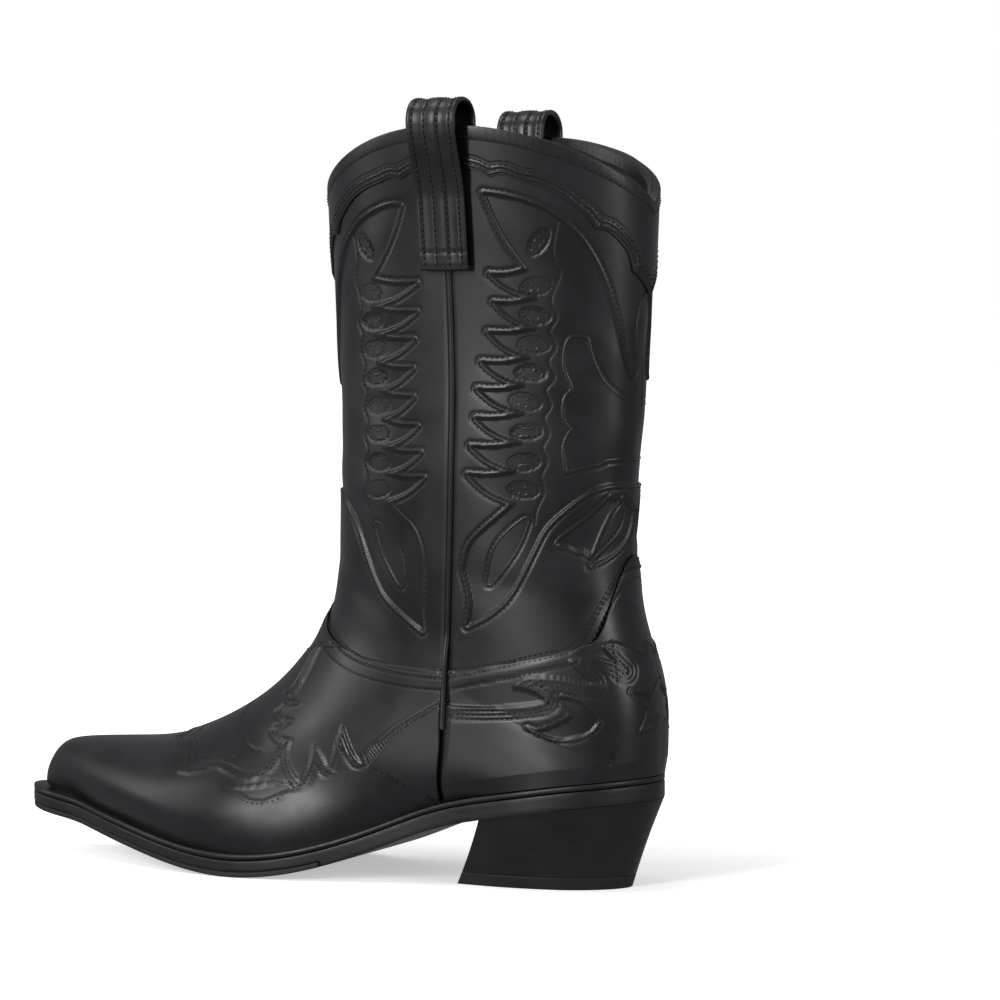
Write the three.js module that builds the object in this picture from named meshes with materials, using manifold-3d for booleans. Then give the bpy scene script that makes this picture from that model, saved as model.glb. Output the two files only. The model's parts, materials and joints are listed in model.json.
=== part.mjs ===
// A pull-on western boot for the left foot, built from its separate leathers, soles and lifts.
// Millimetres. +Z is up, the toe points along -X, the outer side of the foot faces -Y.
// The origin is the middle of the flat tread face of the heel, on the ground.
import * as THREE from 'three';
import { mergeVertices } from 'three/addons/utils/BufferGeometryUtils.js';
import Module from 'manifold-3d';

const wasm = await Module();
wasm.setup();

// ---- driving dimensions -------------------------------------------------------------------
const shaftHeight = 330;      // side peak of the top line above the ground
const topDip = 33;            // how far the top line drops to its points, front and back
const topWidth = 95.5;        // shaft across, at the side peaks
const topDepth = 153;         // shaft front to back, at the top
const ankleWidth = 71;        // across the ankle
const ankleDepth = 142;       // front to back at the throat of the ankle
const shaftLean = 7;          // the shaft leans this far to the outer side at the top
const seatHeight = 50;        // edge of the heel seat above the ground, at the back
const toeSpring = 30;         // top of the welt above the ground, at the toe tip
const toeBoxHeight = 22;      // toe leather above the welt, at the tip
const footLength = 308;       // upper from the heel back to the toe tip
const heelBack = 50;          // X of the upper's heel back, behind the middle of the tread
const ballWidth = 91;         // upper edge to edge at the ball
const waistWidth = 58;        // upper edge to edge at the waist
const seatWidth = 71;         // upper edge to edge at the heel seat
const toeWidth = 15;          // flat of the snipped toe

const leather = 1.5;          // vamp and counter cover
const shaftLeather = 1.4;     // shaft panels
const liningLeather = 1.1;
const trimLeather = 0.9;      // collars, bindings and overlaid ornament
const stiffener = 1.5;        // heel counter and toe puff
const gap = 0.3;              // clearance between neighbouring pieces

const weltThick = 2.8;
const outsoleThick = 7.2;     // leather sole behind the rubber
const rubberThick = 2.4;      // rubber half sole
const insoleThick = 2.6;
const sockThick = 1.0;
const weltReach = { heel: 1.6, side: 4.6, toe: 9 };  // welt beyond the upper
const rubberFrom = -92;       // the half sole covers the tread in front of this X

const breastTop = -20;        // heel breast under the sole
const breastFoot = -35.5;     // heel breast at the ground
const heelBackFoot = 37.5;    // back of the heel at the ground
const heelFootWidth = 50;     // across the heel at the ground
const topLiftThick = 5.6;
const flatLifts = 4;
const wedgeLifts = 2;
const nailRadius = 1.3;

const strapWidth = 23;
const strapThick = 2.6;       // doubled strap leather
const strapRise = 13;         // top of the pull strap above the side peak
const strapDrop = 61;         // its stitched end below the side peak
const strapBow = 5.5;         // it stands this far off the shaft, at the peak
const pipingWidth = 2.0;
const collarDepth = 27;
const bindingDepth = 5;

// ---- colours ------------------------------------------------------------------------------
const blackCalf = { color: 0x17171a, roughness: 0.38, metalness: 0 };
const blackEdge = { color: 0x101012, roughness: 0.3, metalness: 0 };
const liningTan = { color: 0x2a2320, roughness: 0.7, metalness: 0 };
const rubberBlack = { color: 0x161616, roughness: 0.75, metalness: 0 };
const veg = { color: 0x9a6b45, roughness: 0.7, metalness: 0 };
const corkBrown = { color: 0xa47a4c, roughness: 0.9, metalness: 0 };
const steel = { color: 0x8d9196, roughness: 0.35, metalness: 1 };

// ---- small tools --------------------------------------------------------------------------
const lerp = THREE.MathUtils.lerp;
const ramp = (x, a, b) => THREE.MathUtils.smoothstep(x, a, b);
const boot = new THREE.Group();

function addMesh(name, geometry, look) {
  const mesh = new THREE.Mesh(geometry, new THREE.MeshStandardMaterial(look));
  mesh.name = name;
  boot.add(mesh);
  return mesh;
}

// natural cubic curve through equally spaced values; t runs from 0 to values.length - 1
function natural(values) {
  const n = values.length;
  const bend = new Array(n).fill(0);
  const c = new Array(n).fill(0);
  const d = new Array(n).fill(0);
  for (let i = 1; i < n - 1; i++) {
    const w = 4 - c[i - 1];
    c[i] = 1 / w;
    d[i] = (6 * (values[i + 1] - 2 * values[i] + values[i - 1]) - d[i - 1]) / w;
  }
  for (let i = n - 2; i > 0; i--) bend[i] = d[i] - c[i] * bend[i + 1];
  return (t) => {
    const i = Math.min(Math.max(Math.floor(t), 0), n - 2);
    const f = t - i;
    const g = 1 - f;
    return g * values[i] + f * values[i + 1]
      + ((g ** 3 - g) * bend[i] + (f ** 3 - f) * bend[i + 1]) / 6;
  };
}

// smallest t in [a, b] where the rising or falling function f crosses the level
function crossing(f, level, a, b) {
  const rising = f(b) > f(a);
  for (let k = 0; k < 40; k++) {
    const mid = (a + b) / 2;
    if ((f(mid) > level) === rising) b = mid;
    else a = mid;
  }
  return (a + b) / 2;
}

// ---- the last: feather line, where the upper meets the welt -------------------------------
// Points go from the heel back along one side to the toe tip: [X, half width], shares of the
// foot's own sizes, so that the outline follows them.
const toeTip = heelBack - footLength;         // X of its toe tip
const alongFoot = (share) => heelBack - share * footLength;
const featherShape = {
  outer: [[0.04, seatWidth * 0.335], [0.1, seatWidth * 0.468], [0.17, seatWidth * 0.498],
    [0.25, waistWidth * 0.56], [0.33, waistWidth * 0.55], [0.42, ballWidth * 0.4],
    [0.51, ballWidth * 0.475], [0.605, ballWidth * 0.508], [0.69, ballWidth * 0.47],
    [0.775, ballWidth * 0.378], [0.855, ballWidth * 0.262], [0.925, ballWidth * 0.15],
    [0.975, toeWidth * 0.58]],
  inner: [[0.04, seatWidth * 0.335], [0.1, seatWidth * 0.462], [0.17, seatWidth * 0.484],
    [0.25, waistWidth * 0.5], [0.33, waistWidth * 0.445], [0.42, ballWidth * 0.31],
    [0.51, ballWidth * 0.405], [0.605, ballWidth * 0.482], [0.69, ballWidth * 0.475],
    [0.775, ballWidth * 0.388], [0.855, ballWidth * 0.268], [0.925, ballWidth * 0.152],
    [0.975, toeWidth * 0.56]],
};

function featherCurve(side) {
  const own = (side < 0 ? featherShape.outer : featherShape.inner).map((p) => [p[0], side * p[1]]);
  const other = (side < 0 ? featherShape.inner : featherShape.outer).map((p) => [p[0], -side * p[1]]);
  const loop = [...other.slice(0, 4).reverse(), [0, 0], ...own, [1, 0], ...other.slice(-3).reverse()];
  const x = natural(loop.map((p) => alongFoot(p[0])));
  const y = natural(loop.map((p) => p[1]));
  const first = 4;
  const span = own.length + 1;
  const steps = 600;
  const travel = [0];
  for (let i = 1; i <= steps; i++) {
    const [a, b] = [first + span * (i - 1) / steps, first + span * i / steps];
    travel.push(travel[i - 1] + Math.hypot(x(b) - x(a), y(b) - y(a)));
  }
  // share 0 is the heel back, share 1 the toe tip, by length along the edge
  return (share) => {
    const want = THREE.MathUtils.clamp(share, 0, 1) * travel[steps];
    let [lo, hi] = [0, steps];
    while (hi - lo > 1) {
      const mid = (lo + hi) >> 1;
      if (travel[mid] > want) hi = mid;
      else lo = mid;
    }
    const f = (want - travel[lo]) / (travel[hi] - travel[lo]);
    const t = first + span * (lo + f) / steps;
    const e = 0.01;
    const tangent = new THREE.Vector2(x(t + e) - x(t - e), y(t + e) - y(t - e)).normalize();
    const out = new THREE.Vector2(-side * tangent.y, side * tangent.x).negate();
    if (out.y * side < 0 && share > 0.05 && share < 0.95) out.negate();
    if (share <= 0.05 && out.x < 0) out.negate();
    if (share >= 0.95 && out.x > 0) out.negate();
    return { x: x(t), y: y(t), out };
  };
}
const feather = { '-1': featherCurve(-1), '1': featherCurve(1) };

const edgePoint = (side, share, reach) => {
  const p = feather[side](share);
  return [p.x + p.out.x * reach, p.y + p.out.y * reach];
};
const shareAtX = (side, x, reach = 0) => crossing((s) => edgePoint(side, s, reach)[0], x, 0.04, 0.97);

// height of the welt's top face along the foot
const ballRest = weltThick + outsoleThick + 1.5 * gap + 0.15;
const featherRise = natural([seatHeight, 0.94 * seatHeight, 0.845 * seatHeight, 0.71 * seatHeight,
  0.475 * seatHeight, ballRest + 3.6, ballRest, ballRest + 2.6, lerp(ballRest, toeSpring, 0.42),
  lerp(ballRest, toeSpring, 0.72), toeSpring]);
const featherHeight = (x) => featherRise(THREE.MathUtils.clamp((heelBack - x) / footLength, -0.03, 1.03) * 10);

// ---- the last: outer surface of the upper --------------------------------------------------
// A section runs from the front line of the boot down and back to its lower line, which is the
// back line of the shaft and then, past station `corner`, the feather line. Stations are level
// in the shaft and fan out over the instep.
const throatZ = 200;
const topZ = shaftHeight + 14;
const backX = heelBack;
const frontTop = backX - 1 - topDepth;
const frontThroat = 40.5 - ankleDepth;
const frontLine = [[frontTop, topZ], [lerp(frontTop, frontThroat, 0.7), lerp(throatZ, topZ, 0.42)],
  [frontThroat + 0.4, throatZ], [frontThroat, 176], [frontThroat - 0.8, 154], [frontThroat - 2.6, 136],
  [frontThroat - 5.4, 122], [frontThroat - 10.6, 109], [frontThroat - 19, 96.5],
  [alongFoot(0.597), 83], [alongFoot(0.648), 72], [alongFoot(0.706), 63], [alongFoot(0.778), 56],
  [alongFoot(0.858), toeSpring + toeBoxHeight + 1.6], [alongFoot(0.935), toeSpring + toeBoxHeight + 0.2],
  [alongFoot(0.975), toeSpring + toeBoxHeight - 3], [alongFoot(0.994), toeSpring + toeBoxHeight * 0.5],
  [toeTip, toeSpring + 3]];
const backLine = [[backX + 1.6, topZ], [48.4, lerp(throatZ, topZ, 0.42)], [43.6, throatZ - 3], [40.4, 160],
  [40.9, 122], [49.6, 88], [backX, seatHeight]];
const corner = backLine.length - 1;
const featherShare = [0, 0.1, 0.215, 0.33, 0.445, 0.57, 0.68, 0.78, 0.87, 0.93, 0.965, 0.985];
const lastStation = frontLine.length - 1;

const frontX = natural(frontLine.map((p) => p[0]));
const frontZ = natural(frontLine.map((p) => p[1]));
const backCurveX = natural(backLine.map((p) => p[0]));
const backCurveZ = natural(backLine.map((p) => p[1]));
const shareCurve = natural(featherShare);
const slack = 0.35;           // the lower line slows down over this much station, at the corner
const slowed = (d) => d * Math.abs(d) / (Math.abs(d) + slack);
const speedUp = (d, end) => slowed(d) * end / slowed(end);

function lowerPoint(side, v) {
  const d = v - corner;
  if (d <= 0) {
    const t = corner + speedUp(-d, corner) * -1;
    return { x: backCurveX(t), z: backCurveZ(t), y: 0, across: 1, closed: true };
  }
  const share = shareCurve(speedUp(d, lastStation - corner));
  const edge = feather[side](share);
  return { x: edge.x, z: featherHeight(edge.x), y: Math.abs(edge.y), across: edge.out.x,
    along: Math.abs(edge.out.y), closed: false };
}

const edgeWidth = (side, k) => lowerPoint(side, k).y;
function widthCurve(side) {
  const still = [topWidth / 2 + 1, lerp(ankleWidth, topWidth, 0.29) / 2, lerp(ankleWidth, topWidth, 0.13) / 2 + 1,
    ankleWidth / 2 + 1.9, ankleWidth / 2 + 0.8, ankleWidth / 2 + 0.2, ankleWidth / 2 + 0.2,
    ankleWidth / 2 + 0.7, ankleWidth / 2 + 1.6];
  const bulge = side < 0 ? [6.6, 5.4, 3, 1.6, 1.4, 1.2, 1, 0.8, 0.6] : [10, 8, 4, 1.8, 1.4, 1.2, 1, 0.8, 0.6];
  const rest = bulge.map((b, i) => edgeWidth(side, still.length + i) + b);
  return natural([...still, ...rest]);
}
const width = { '-1': widthCurve(-1), '1': widthCurve(1) };
const widestAt = natural([0.49, 0.49, 0.49, 0.49, 0.49, 0.5, 0.5, 0.52, 0.55, 0.6, 0.66, 0.7, 0.7, 0.68, 0.66,
  0.64, 0.62, 0.6]);
const ridge = natural([0.56, 0.56, 0.56, 0.56, 0.56, 0.54, 0.52, 0.5, 0.46, 0.42, 0.4, 0.42, 0.48, 0.54, 0.56,
  0.56, 0.56, 0.56]);
const shoulder = natural([0.56, 0.56, 0.56, 0.56, 0.56, 0.56, 0.55, 0.54, 0.52, 0.5, 0.5, 0.5, 0.5, 0.52, 0.54,
  0.56, 0.56, 0.56]);
const tuck = natural([0, 0, 0, 0, 0, 0, 0, 0.12, 0.3, 0.36, 0.22, 0.14, 0.1, 0.08, 0.06, 0.05, 0.05, 0.05]);
const roundness = 0.5523;     // handle length that gives a quarter ellipse
const heelRound = natural([0.56, 0.56, 0.57, 0.6, 0.66, 0.73, 0.78, 0.76, 0.66, 0.58, 0.56, 0.56, 0.56, 0.56,
  0.56, 0.56, 0.56, 0.56]);

const bezier = (p0, p1, p2, p3, t) => {
  const s = 1 - t;
  return s * s * s * p0 + 3 * s * s * t * p1 + 3 * s * t * t * p2 + t * t * t * p3;
};
const leanAt = (z) => -shaftLean * ramp(z, 60, shaftHeight) - 0.018 * Math.max(z - shaftHeight, 0);

// one point of the surface: side -1 outer or 1 inner, a from 0 (front line) to 1 (lower line)
const sectionCache = new Map();
function section(side, v) {
  const key = side * 1e6 + Math.round(v * 1e5) * side;
  if (sectionCache.has(key)) return sectionCache.get(key);
  const low = lowerPoint(side, v);
  const [fx, fz] = [frontX(v), frontZ(v)];
  const reach = Math.hypot(low.x - fx, low.z - fz);
  const dir = [(low.x - fx) / reach, (low.z - fz) / reach];
  const w = width[side](v);
  const wide = widestAt(v) * reach;
  const flat = low.closed ? Math.PI / 2 : Math.atan2(dir[0] * Math.max(low.across, 0), low.along) + tuck(v);
  // the lower handle stays inside the box between the widest point and the lower point
  const down = heelRound(v) / Math.hypot(Math.sin(flat) / Math.max(w - low.y, 0.5),
    Math.cos(flat) / (reach - wide));
  const made = { fx, fz, dir, r: [0, 0, wide * (1 - shoulder(v)), wide,
    wide + lerp(roundness, heelRound(v), 0.6) * (reach - wide), reach - down * Math.cos(flat), reach],
  y: [0, ridge(v) * w, w, w, w, low.y + down * Math.sin(flat), low.y] };
  sectionCache.set(key, made);
  return made;
}

function surfacePoint(side, a, v) {
  const s = section(side, v);
  const k = a < 0.5 ? 0 : 3;
  const t = a < 0.5 ? 2 * a : 2 * a - 1;
  const r = bezier(s.r[k], s.r[k + 1], s.r[k + 2], s.r[k + 3], t);
  const y = bezier(s.y[k], s.y[k + 1], s.y[k + 2], s.y[k + 3], t);
  const z = s.fz + s.dir[1] * r;
  return new THREE.Vector3(s.fx + s.dir[0] * r, side * y + leanAt(z), z);
}

// same, but a may run over the front or back line onto the other side
function aroundPoint(side, a, v) {
  if (a < 0) return surfacePoint(-side, -a, v);
  if (a > 1 && v <= corner) return surfacePoint(-side, 2 - a, v);
  return surfacePoint(side, Math.min(a, 1), v);
}

function surfaceNormal(side, a, v) {
  // the two directions run together at the heel corner, so the slope is read a little above it
  const near = lerp(1, 0.95, ramp(v, corner - 0.3, corner) * (1 - ramp(v, corner + 0.8, corner + 1.6)));
  const at = Math.min(a, near, v > corner ? 0.99 : 1);
  const e = 0.01;
  const da = aroundPoint(side, at + e, v).sub(aroundPoint(side, at - e, v));
  const up = Math.max(v - e, 0);
  const down = Math.min(v + e, lastStation);
  const dv = surfacePoint(side, at, down).sub(surfacePoint(side, at, up));
  const normal = da.cross(dv).multiplyScalar(side).normalize();
  // leather is stacked level where the surface overhangs, so that no edge dips into the welt
  return normal.setZ(Math.max(normal.z, 0)).normalize();
}

// ---- seam and edge lines on the last ------------------------------------------------------
const seamX = (z) => -29 - 7 * (1 - ramp(z, 60, 230)) - 0.1 * Math.max(60 - z, 0);
const seamCache = new Map();
function seamAt(side, v) {
  const key = side * (1 + Math.round(v * 1e4));
  if (!seamCache.has(key)) {
    const past = (a) => {
      const p = surfacePoint(side, a, v);
      return p.x - seamX(p.z);
    };
    seamCache.set(key, past(1) < 0 ? 1 : crossing(past, 0, 0, 1));
  }
  return seamCache.get(key);
}
const seamFoot = (side) => crossing((v) => {
  const p = surfacePoint(side, 1, v);
  return p.x - seamX(p.z);
}, 0, corner + 0.2, lastStation);

// width in mm turned into the section's own share, at a seam
function shareOf(mm, side, a, v) {
  const e = 0.01;
  return mm * 2 * e / aroundPoint(side, a + e, v).distanceTo(aroundPoint(side, a - e, v));
}

// t is 0 at the front or back point of the top line and 1 at the side seam
const topLine = (t) => shaftHeight - topDip * (1 - Math.sin(Math.PI / 2 * Math.min(Math.abs(t), 1)) ** 0.9);
const vampLine = (t) => 96 + 26 * (1 - Math.abs(t)) ** 2.2;
const counterLine = (t) => 96 + 22 * (1 - Math.abs(t)) + 28 * ramp(1 - Math.abs(t), 0.55, 0.95);

// A strip of the upper: t from -1 (outer seam) to 1 (inner seam), about the front or back line.
function strip(where, seamGap = 0) {
  const front = where === 'front';
  const at = (t, v) => {
    const side = t < 0 ? -1 : 1;
    const seam = seamAt(side, v);
    const edge = seam === 1 ? (front ? 1 : 0)
      : (front ? seam - shareOf(seamGap, side, seam, v) : 1 - seam - shareOf(seamGap, side, seam, v));
    const share = Math.abs(t) * edge;
    return { side, a: front ? share : 1 - share, v };
  };
  const stationAt = (t, z) => crossing((v) => {
    const p = at(t, v);
    return surfacePoint(p.side, p.a, v).z;
  }, z, 0, front ? 12 : corner + 4);
  return { at, stationAt };
}

// closed solid between an inner and an outer grid of points
function shell(rows, cols, inner, outer) {
  const n = cols + 1;
  const verts = [];
  for (let layer = 0; layer < 2; layer++) {
    for (let i = 0; i <= rows; i++) {
      for (let j = 0; j <= cols; j++) verts.push(...(layer ? outer : inner)(i, j).toArray());
    }
  }
  const half = (rows + 1) * n;
  const tris = [];
  const quad = (a, b, c, d) => tris.push(a, b, c, a, c, d);
  const span = (a, b) => Math.hypot(...[0, 1, 2].map((k) => verts[3 * a + k] - verts[3 * b + k]));
  for (let i = 0; i < rows; i++) {
    for (let j = 0; j < cols; j++) {
      const k = i * n + j;
      const straight = span(half + k, half + k + n + 1) < span(half + k + 1, half + k + n);
      for (const base of [k, half + k]) {
        const ring = base < half ? [base, base + n, base + n + 1, base + 1]
          : [base, base + 1, base + n + 1, base + n];
        if (straight) quad(...ring);
        else quad(ring[1], ring[2], ring[3], ring[0]);
      }
    }
  }
  for (let i = 0; i < rows; i++) {
    quad(i * n, half + i * n, half + (i + 1) * n, (i + 1) * n);
    const k = i * n + cols;
    quad(k, k + n, half + k + n, half + k);
  }
  for (let j = 0; j < cols; j++) {
    quad(j, j + 1, half + j + 1, half + j);
    const k = rows * n + j;
    quad(k, half + k, half + k + 1, k + 1);
  }
  return facingOut(verts, tris);
}

function facingOut(verts, tris) {
  const geometry = new THREE.BufferGeometry();
  geometry.setAttribute('position', new THREE.Float32BufferAttribute(verts, 3));
  let volume = 0;
  const [a, b, c] = [new THREE.Vector3(), new THREE.Vector3(), new THREE.Vector3()];
  for (let i = 0; i < tris.length; i += 3) {
    [a, b, c].forEach((p, k) => p.fromArray(verts, tris[i + k] * 3));
    volume += a.dot(b.cross(c));
  }
  if (volume < 0) {
    for (let i = 0; i < tris.length; i += 3) [tris[i + 1], tris[i + 2]] = [tris[i + 2], tris[i + 1]];
  }
  geometry.setIndex(tris);
  geometry.computeVertexNormals();
  return geometry;
}

// leather over the last: place(i, j) gives side, a and v, or a point and its normal; from and to
// are offsets off the surface, as numbers or as functions of v
function overLast(rows, cols, place, from, to) {
  const point = (offset) => (i, j) => {
    const { side, a, v, at, normal } = place(i / rows, j / cols);
    const lift = typeof offset === 'function' ? offset(v) : offset;
    if (at) return at.clone().addScaledVector(normal, lift);
    return surfacePoint(side, a, v).addScaledVector(surfaceNormal(side, a, v), lift);
  };
  return shell(rows, cols, point(from), point(to));
}

// ---- layers of the upper, as offsets off the surface ---------------------------------------
const shaftOut = -gap;
const shaftIn = shaftOut - shaftLeather;
const liningOut = shaftIn - 2 * gap;
const liningIn = liningOut - liningLeather;
const trimIn = gap + 0.05;
const trimOut = trimIn + trimLeather;
const coverIn = 0.2;          // inner face of the vamp and the counter cover
const coverOut = coverIn + leather;
const stiffenerOut = coverIn - 3 * gap;
const stiffenerIn = stiffenerOut - stiffener;

// ---- shaft, vamp and their linings ---------------------------------------------------------
const seamHalf = pipingWidth / 2 + gap;
const vampOverlap = 9;        // the shaft tucks this far under the vamp and the counter cover
const weltClear = 1.3;        // the upper stops this far above the welt
const liningClear = 2.6;
const tipStation = lastStation - 0.25;
const sides = [['outer', -1], ['inner', 1]];

// keeps a strip off the welt where it runs down to the feather line
function endShare(side, v, clear) {
  const e = 0.02;
  const step = surfacePoint(side, 1, v).distanceTo(surfacePoint(side, 1 - e, v));
  return 1 - clear * e / step * ramp(v, corner - 0.02, corner + 0.5);
}
const clip = (p, clear) => (p.v < corner - 0.02 ? p
  : { side: p.side, a: Math.min(p.a, endShare(p.side, p.v, clear)), v: p.v });

function shaftPanel(name, where, look) {
  const s = strip(where, seamHalf);
  const line = where === 'front' ? vampLine : counterLine;
  const place = (i, j) => {
    const t = 2 * j - 1;
    const top = s.stationAt(t, topLine(t));
    const low = s.stationAt(t, line(t) - vampOverlap);
    return s.at(t, lerp(top, low, i));
  };
  addMesh(name, overLast(9, 20, place, shaftIn, shaftOut), look);
}
shaftPanel('front_shaft', 'front', blackCalf);
shaftPanel('back_shaft', 'back', blackCalf);

// The vamp wraps the foot from the side seams to the toe tip. Behind the seam's foot it ends at
// the seam, in front of it at the feather line.
const vampStrip = strip('front', seamHalf);
addMesh('vamp', overLast(22, 20, (i, j) => {
  const t = 2 * j - 1;
  const top = vampStrip.stationAt(t, vampLine(t));
  return clip(vampStrip.at(t, lerp(top, tipStation, i)), weltClear);
}, coverIn, coverOut), blackCalf);

// the lining sits deeper where a stiffener lies between it and the leather
const stiffenerRoom = liningOut - stiffenerIn + 4 * gap;
const toeLift = (base) => (v) => base - stiffenerRoom * ramp(v, 12.2, 12.8);
const heelLift = (base) => (v) => base - stiffenerRoom * ramp(v, 3.7, 4.3);

addMesh('toe_puff', overLast(6, 10, (i, j) => {
  const side = j < 0.5 ? -1 : 1;
  const v = lerp(13.2, lastStation - 1.1, i);
  return { side, a: Math.abs(2 * j - 1) * 0.86, v };
}, stiffenerIn, stiffenerOut), { ...veg, color: 0xb9a98c });

const liningStrip = strip('front', gap / 2);
const liningTip = lastStation - 1.3;
addMesh('front_lining', overLast(24, 20, (i, j) => {
  const t = 2 * j - 1;
  const top = liningStrip.stationAt(t, topLine(t));
  return clip(liningStrip.at(t, lerp(top, liningTip, i)), liningClear);
}, toeLift(liningIn), toeLift(liningOut)), liningTan);

// ---- counter cover, stiffener and back lining ---------------------------------------------
// Down to this height above the welt the back pieces follow the last. Below it each column drops
// straight to the feather line, where the leather is lasted over the heel seat.
const drop = 8;
const dropAt = (p) => p.z - featherHeight(p.x) - drop;
function aboveFeather(side, share) {
  const foot = feather[side](share);
  const back = crossing((v) => dropAt(surfacePoint(side, 1, v)), 0, 0, corner);
  const onLevel = (v) => crossing((a) => dropAt(surfacePoint(side, a, v)), 0, 0.5, 1);
  const v = crossing((u) => {
    const p = surfacePoint(side, onLevel(u), u);
    return (foot.x - p.x) * Math.abs(foot.out.y) + (Math.abs(p.y) - Math.abs(foot.y)) * foot.out.x;
  }, 0, back, corner + 4);
  return { foot, a: onLevel(v), v };
}
function heelPlace(seamGap, topOf, clear, turn) {
  const s = strip('back', seamGap);
  const columns = new Map();
  const column = (t) => {
    if (!columns.has(t)) {
      const side = t < 0 ? -1 : 1;
      const end = shareAtX(side, seamX(featherHeight(breastFoot)) + seamGap);
      const low = aboveFeather(side, Math.abs(t) * end);
      const own = (1 - low.a) / (1 - s.at(side, low.v).a);
      const share = Math.abs(t) === 1 ? own : own / column(side).share;
      columns.set(t, { side, top: s.stationAt(t, topOf(t)), ...low, share });
    }
    return columns.get(t);
  };
  return (i, j) => {
    const t = 2 * j - 1;
    const { side, top, foot, v } = column(t);
    const share = Math.abs(t) === 1 ? 1 : column(t).share;
    if (i <= turn) return s.at(side * lerp(Math.abs(t), share, i / turn), lerp(top, v, i / turn));
    const ending = s.at(side * share, v);
    const from = surfacePoint(side, ending.a, v);
    const foothold = new THREE.Vector3(foot.x, foot.y, featherHeight(foot.x) + clear);
    const normal = new THREE.Vector3(foot.out.x, foot.out.y, 0);
    return { v, at: from.lerp(foothold, (i - turn) / (1 - turn)), normal };
  };
}
addMesh('counter_cover', overLast(10, 20, heelPlace(seamHalf, counterLine, weltClear, 0.8),
  coverIn, coverOut), blackCalf);
const stiffenerLine = (t) => 82 + 10 * (1 - Math.abs(t));
addMesh('heel_stiffener', overLast(6, 20, heelPlace(9, stiffenerLine, liningClear, 2 / 3),
  stiffenerIn, stiffenerOut), { ...veg, color: 0xb9a98c });
addMesh('back_lining', overLast(18, 20, heelPlace(gap / 2, topLine, liningClear, 8 / 9),
  heelLift(liningIn), heelLift(liningOut)), liningTan);

// ---- sole parts ----------------------------------------------------------------------------
// The welt and soles are ladders of rungs from the heel back (share 0) to the toe tip (share 1).
const reachAt = (share) => lerp(lerp(weltReach.heel, weltReach.side, ramp(share, 0.14, 0.34)),
  weltReach.toe, ramp(share, 0.9, 1));

function welded(verts, tris) {
  const seen = new Map();
  const remap = [];
  const kept = [];
  for (let i = 0; i < verts.length / 3; i++) {
    const key = verts.slice(i * 3, i * 3 + 3).map((c) => Math.round(c * 1e3)).join();
    if (!seen.has(key)) {
      seen.set(key, kept.length / 3);
      kept.push(...verts.slice(i * 3, i * 3 + 3));
    }
    remap.push(seen.get(key));
  }
  const out = [];
  for (let i = 0; i < tris.length; i += 3) {
    const [a, b, c] = [remap[tris[i]], remap[tris[i + 1]], remap[tris[i + 2]]];
    if (a !== b && b !== c && c !== a) out.push(a, b, c);
  }
  return facingOut(kept, out);
}

// rungs: list of [outerLow, innerLow, innerHigh, outerHigh] points
function ladder(rungs) {
  const verts = rungs.flat(2);
  const tris = [];
  const quad = (a, b, c, d) => tris.push(a, b, c, a, c, d);
  for (let k = 0; k < rungs.length - 1; k++) {
    for (let e = 0; e < 4; e++) {
      const f = (e + 1) % 4;
      quad(4 * k + e, 4 * k + f, 4 * k + 4 + f, 4 * k + 4 + e);
    }
  }
  const last = 4 * (rungs.length - 1);
  quad(3, 2, 1, 0);
  quad(last, last + 1, last + 2, last + 3);
  return welded(verts, tris);
}

function soleSlab(shares, reach, topOf, lowOf) {
  return ladder(shares.map((s) => {
    const [outer, inner] = [-1, 1].map((side) => {
      const share = typeof s === 'number' ? s : s[side];
      return edgePoint(side, share, typeof reach === 'function' ? reach(share) : reach);
    });
    return [[...outer, lowOf(outer[0])], [...inner, lowOf(inner[0])], [...inner, topOf(inner[0])],
      [...outer, topOf(outer[0])]];
  }));
}
const spread = (from, to, n) => Array.from({ length: n + 1 }, (_, k) =>
  lerp(from, to, (1 - Math.cos(Math.PI * k / n)) / 2));
const below = (depth) => (x) => featherHeight(x) - depth;

const outsoleTop = weltThick + 1.5 * gap;
const outsoleLow = outsoleTop + outsoleThick;
const halfSoleTop = outsoleLow - rubberThick;
const outsoleUnder = (x) => featherHeight(x)
  - lerp(outsoleLow, halfSoleTop - gap, ramp(-x, -rubberFrom, 1.1 - rubberFrom));
const weltSteps = 28;

function weltRing() {
  const inset = 7;
  const ring = [];
  for (const side of [-1, 1]) {
    const run = spread(0, 1, weltSteps).map((s) => {
      const out = edgePoint(side, s, reachAt(s));
      const p = feather[side](s * 0.96);
      const inn = [p.x - p.out.x * Math.min(inset, Math.abs(p.y) + inset * (s < 0.5)) * 0.9,
        p.y - p.out.y * Math.min(inset, Math.abs(p.y) * 0.5)];
      return [[...inn, below(weltThick)(inn[0])], [...out, below(weltThick)(out[0])],
        [...out, below(0)(out[0])], [...inn, below(0)(inn[0])]];
    });
    ring.push(...(side < 0 ? run : run.reverse()));
  }
  const verts = ring.flat(2);
  const tris = [];
  for (let k = 0; k < ring.length; k++) {
    const m = (k + 1) % ring.length;
    for (let e = 0; e < 4; e++) {
      const f = (e + 1) % 4;
      tris.push(4 * k + e, 4 * k + f, 4 * m + f, 4 * k + e, 4 * m + f, 4 * m + e);
    }
  }
  return welded(verts, tris);
}
addMesh('welt', weltRing(), blackEdge);

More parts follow.
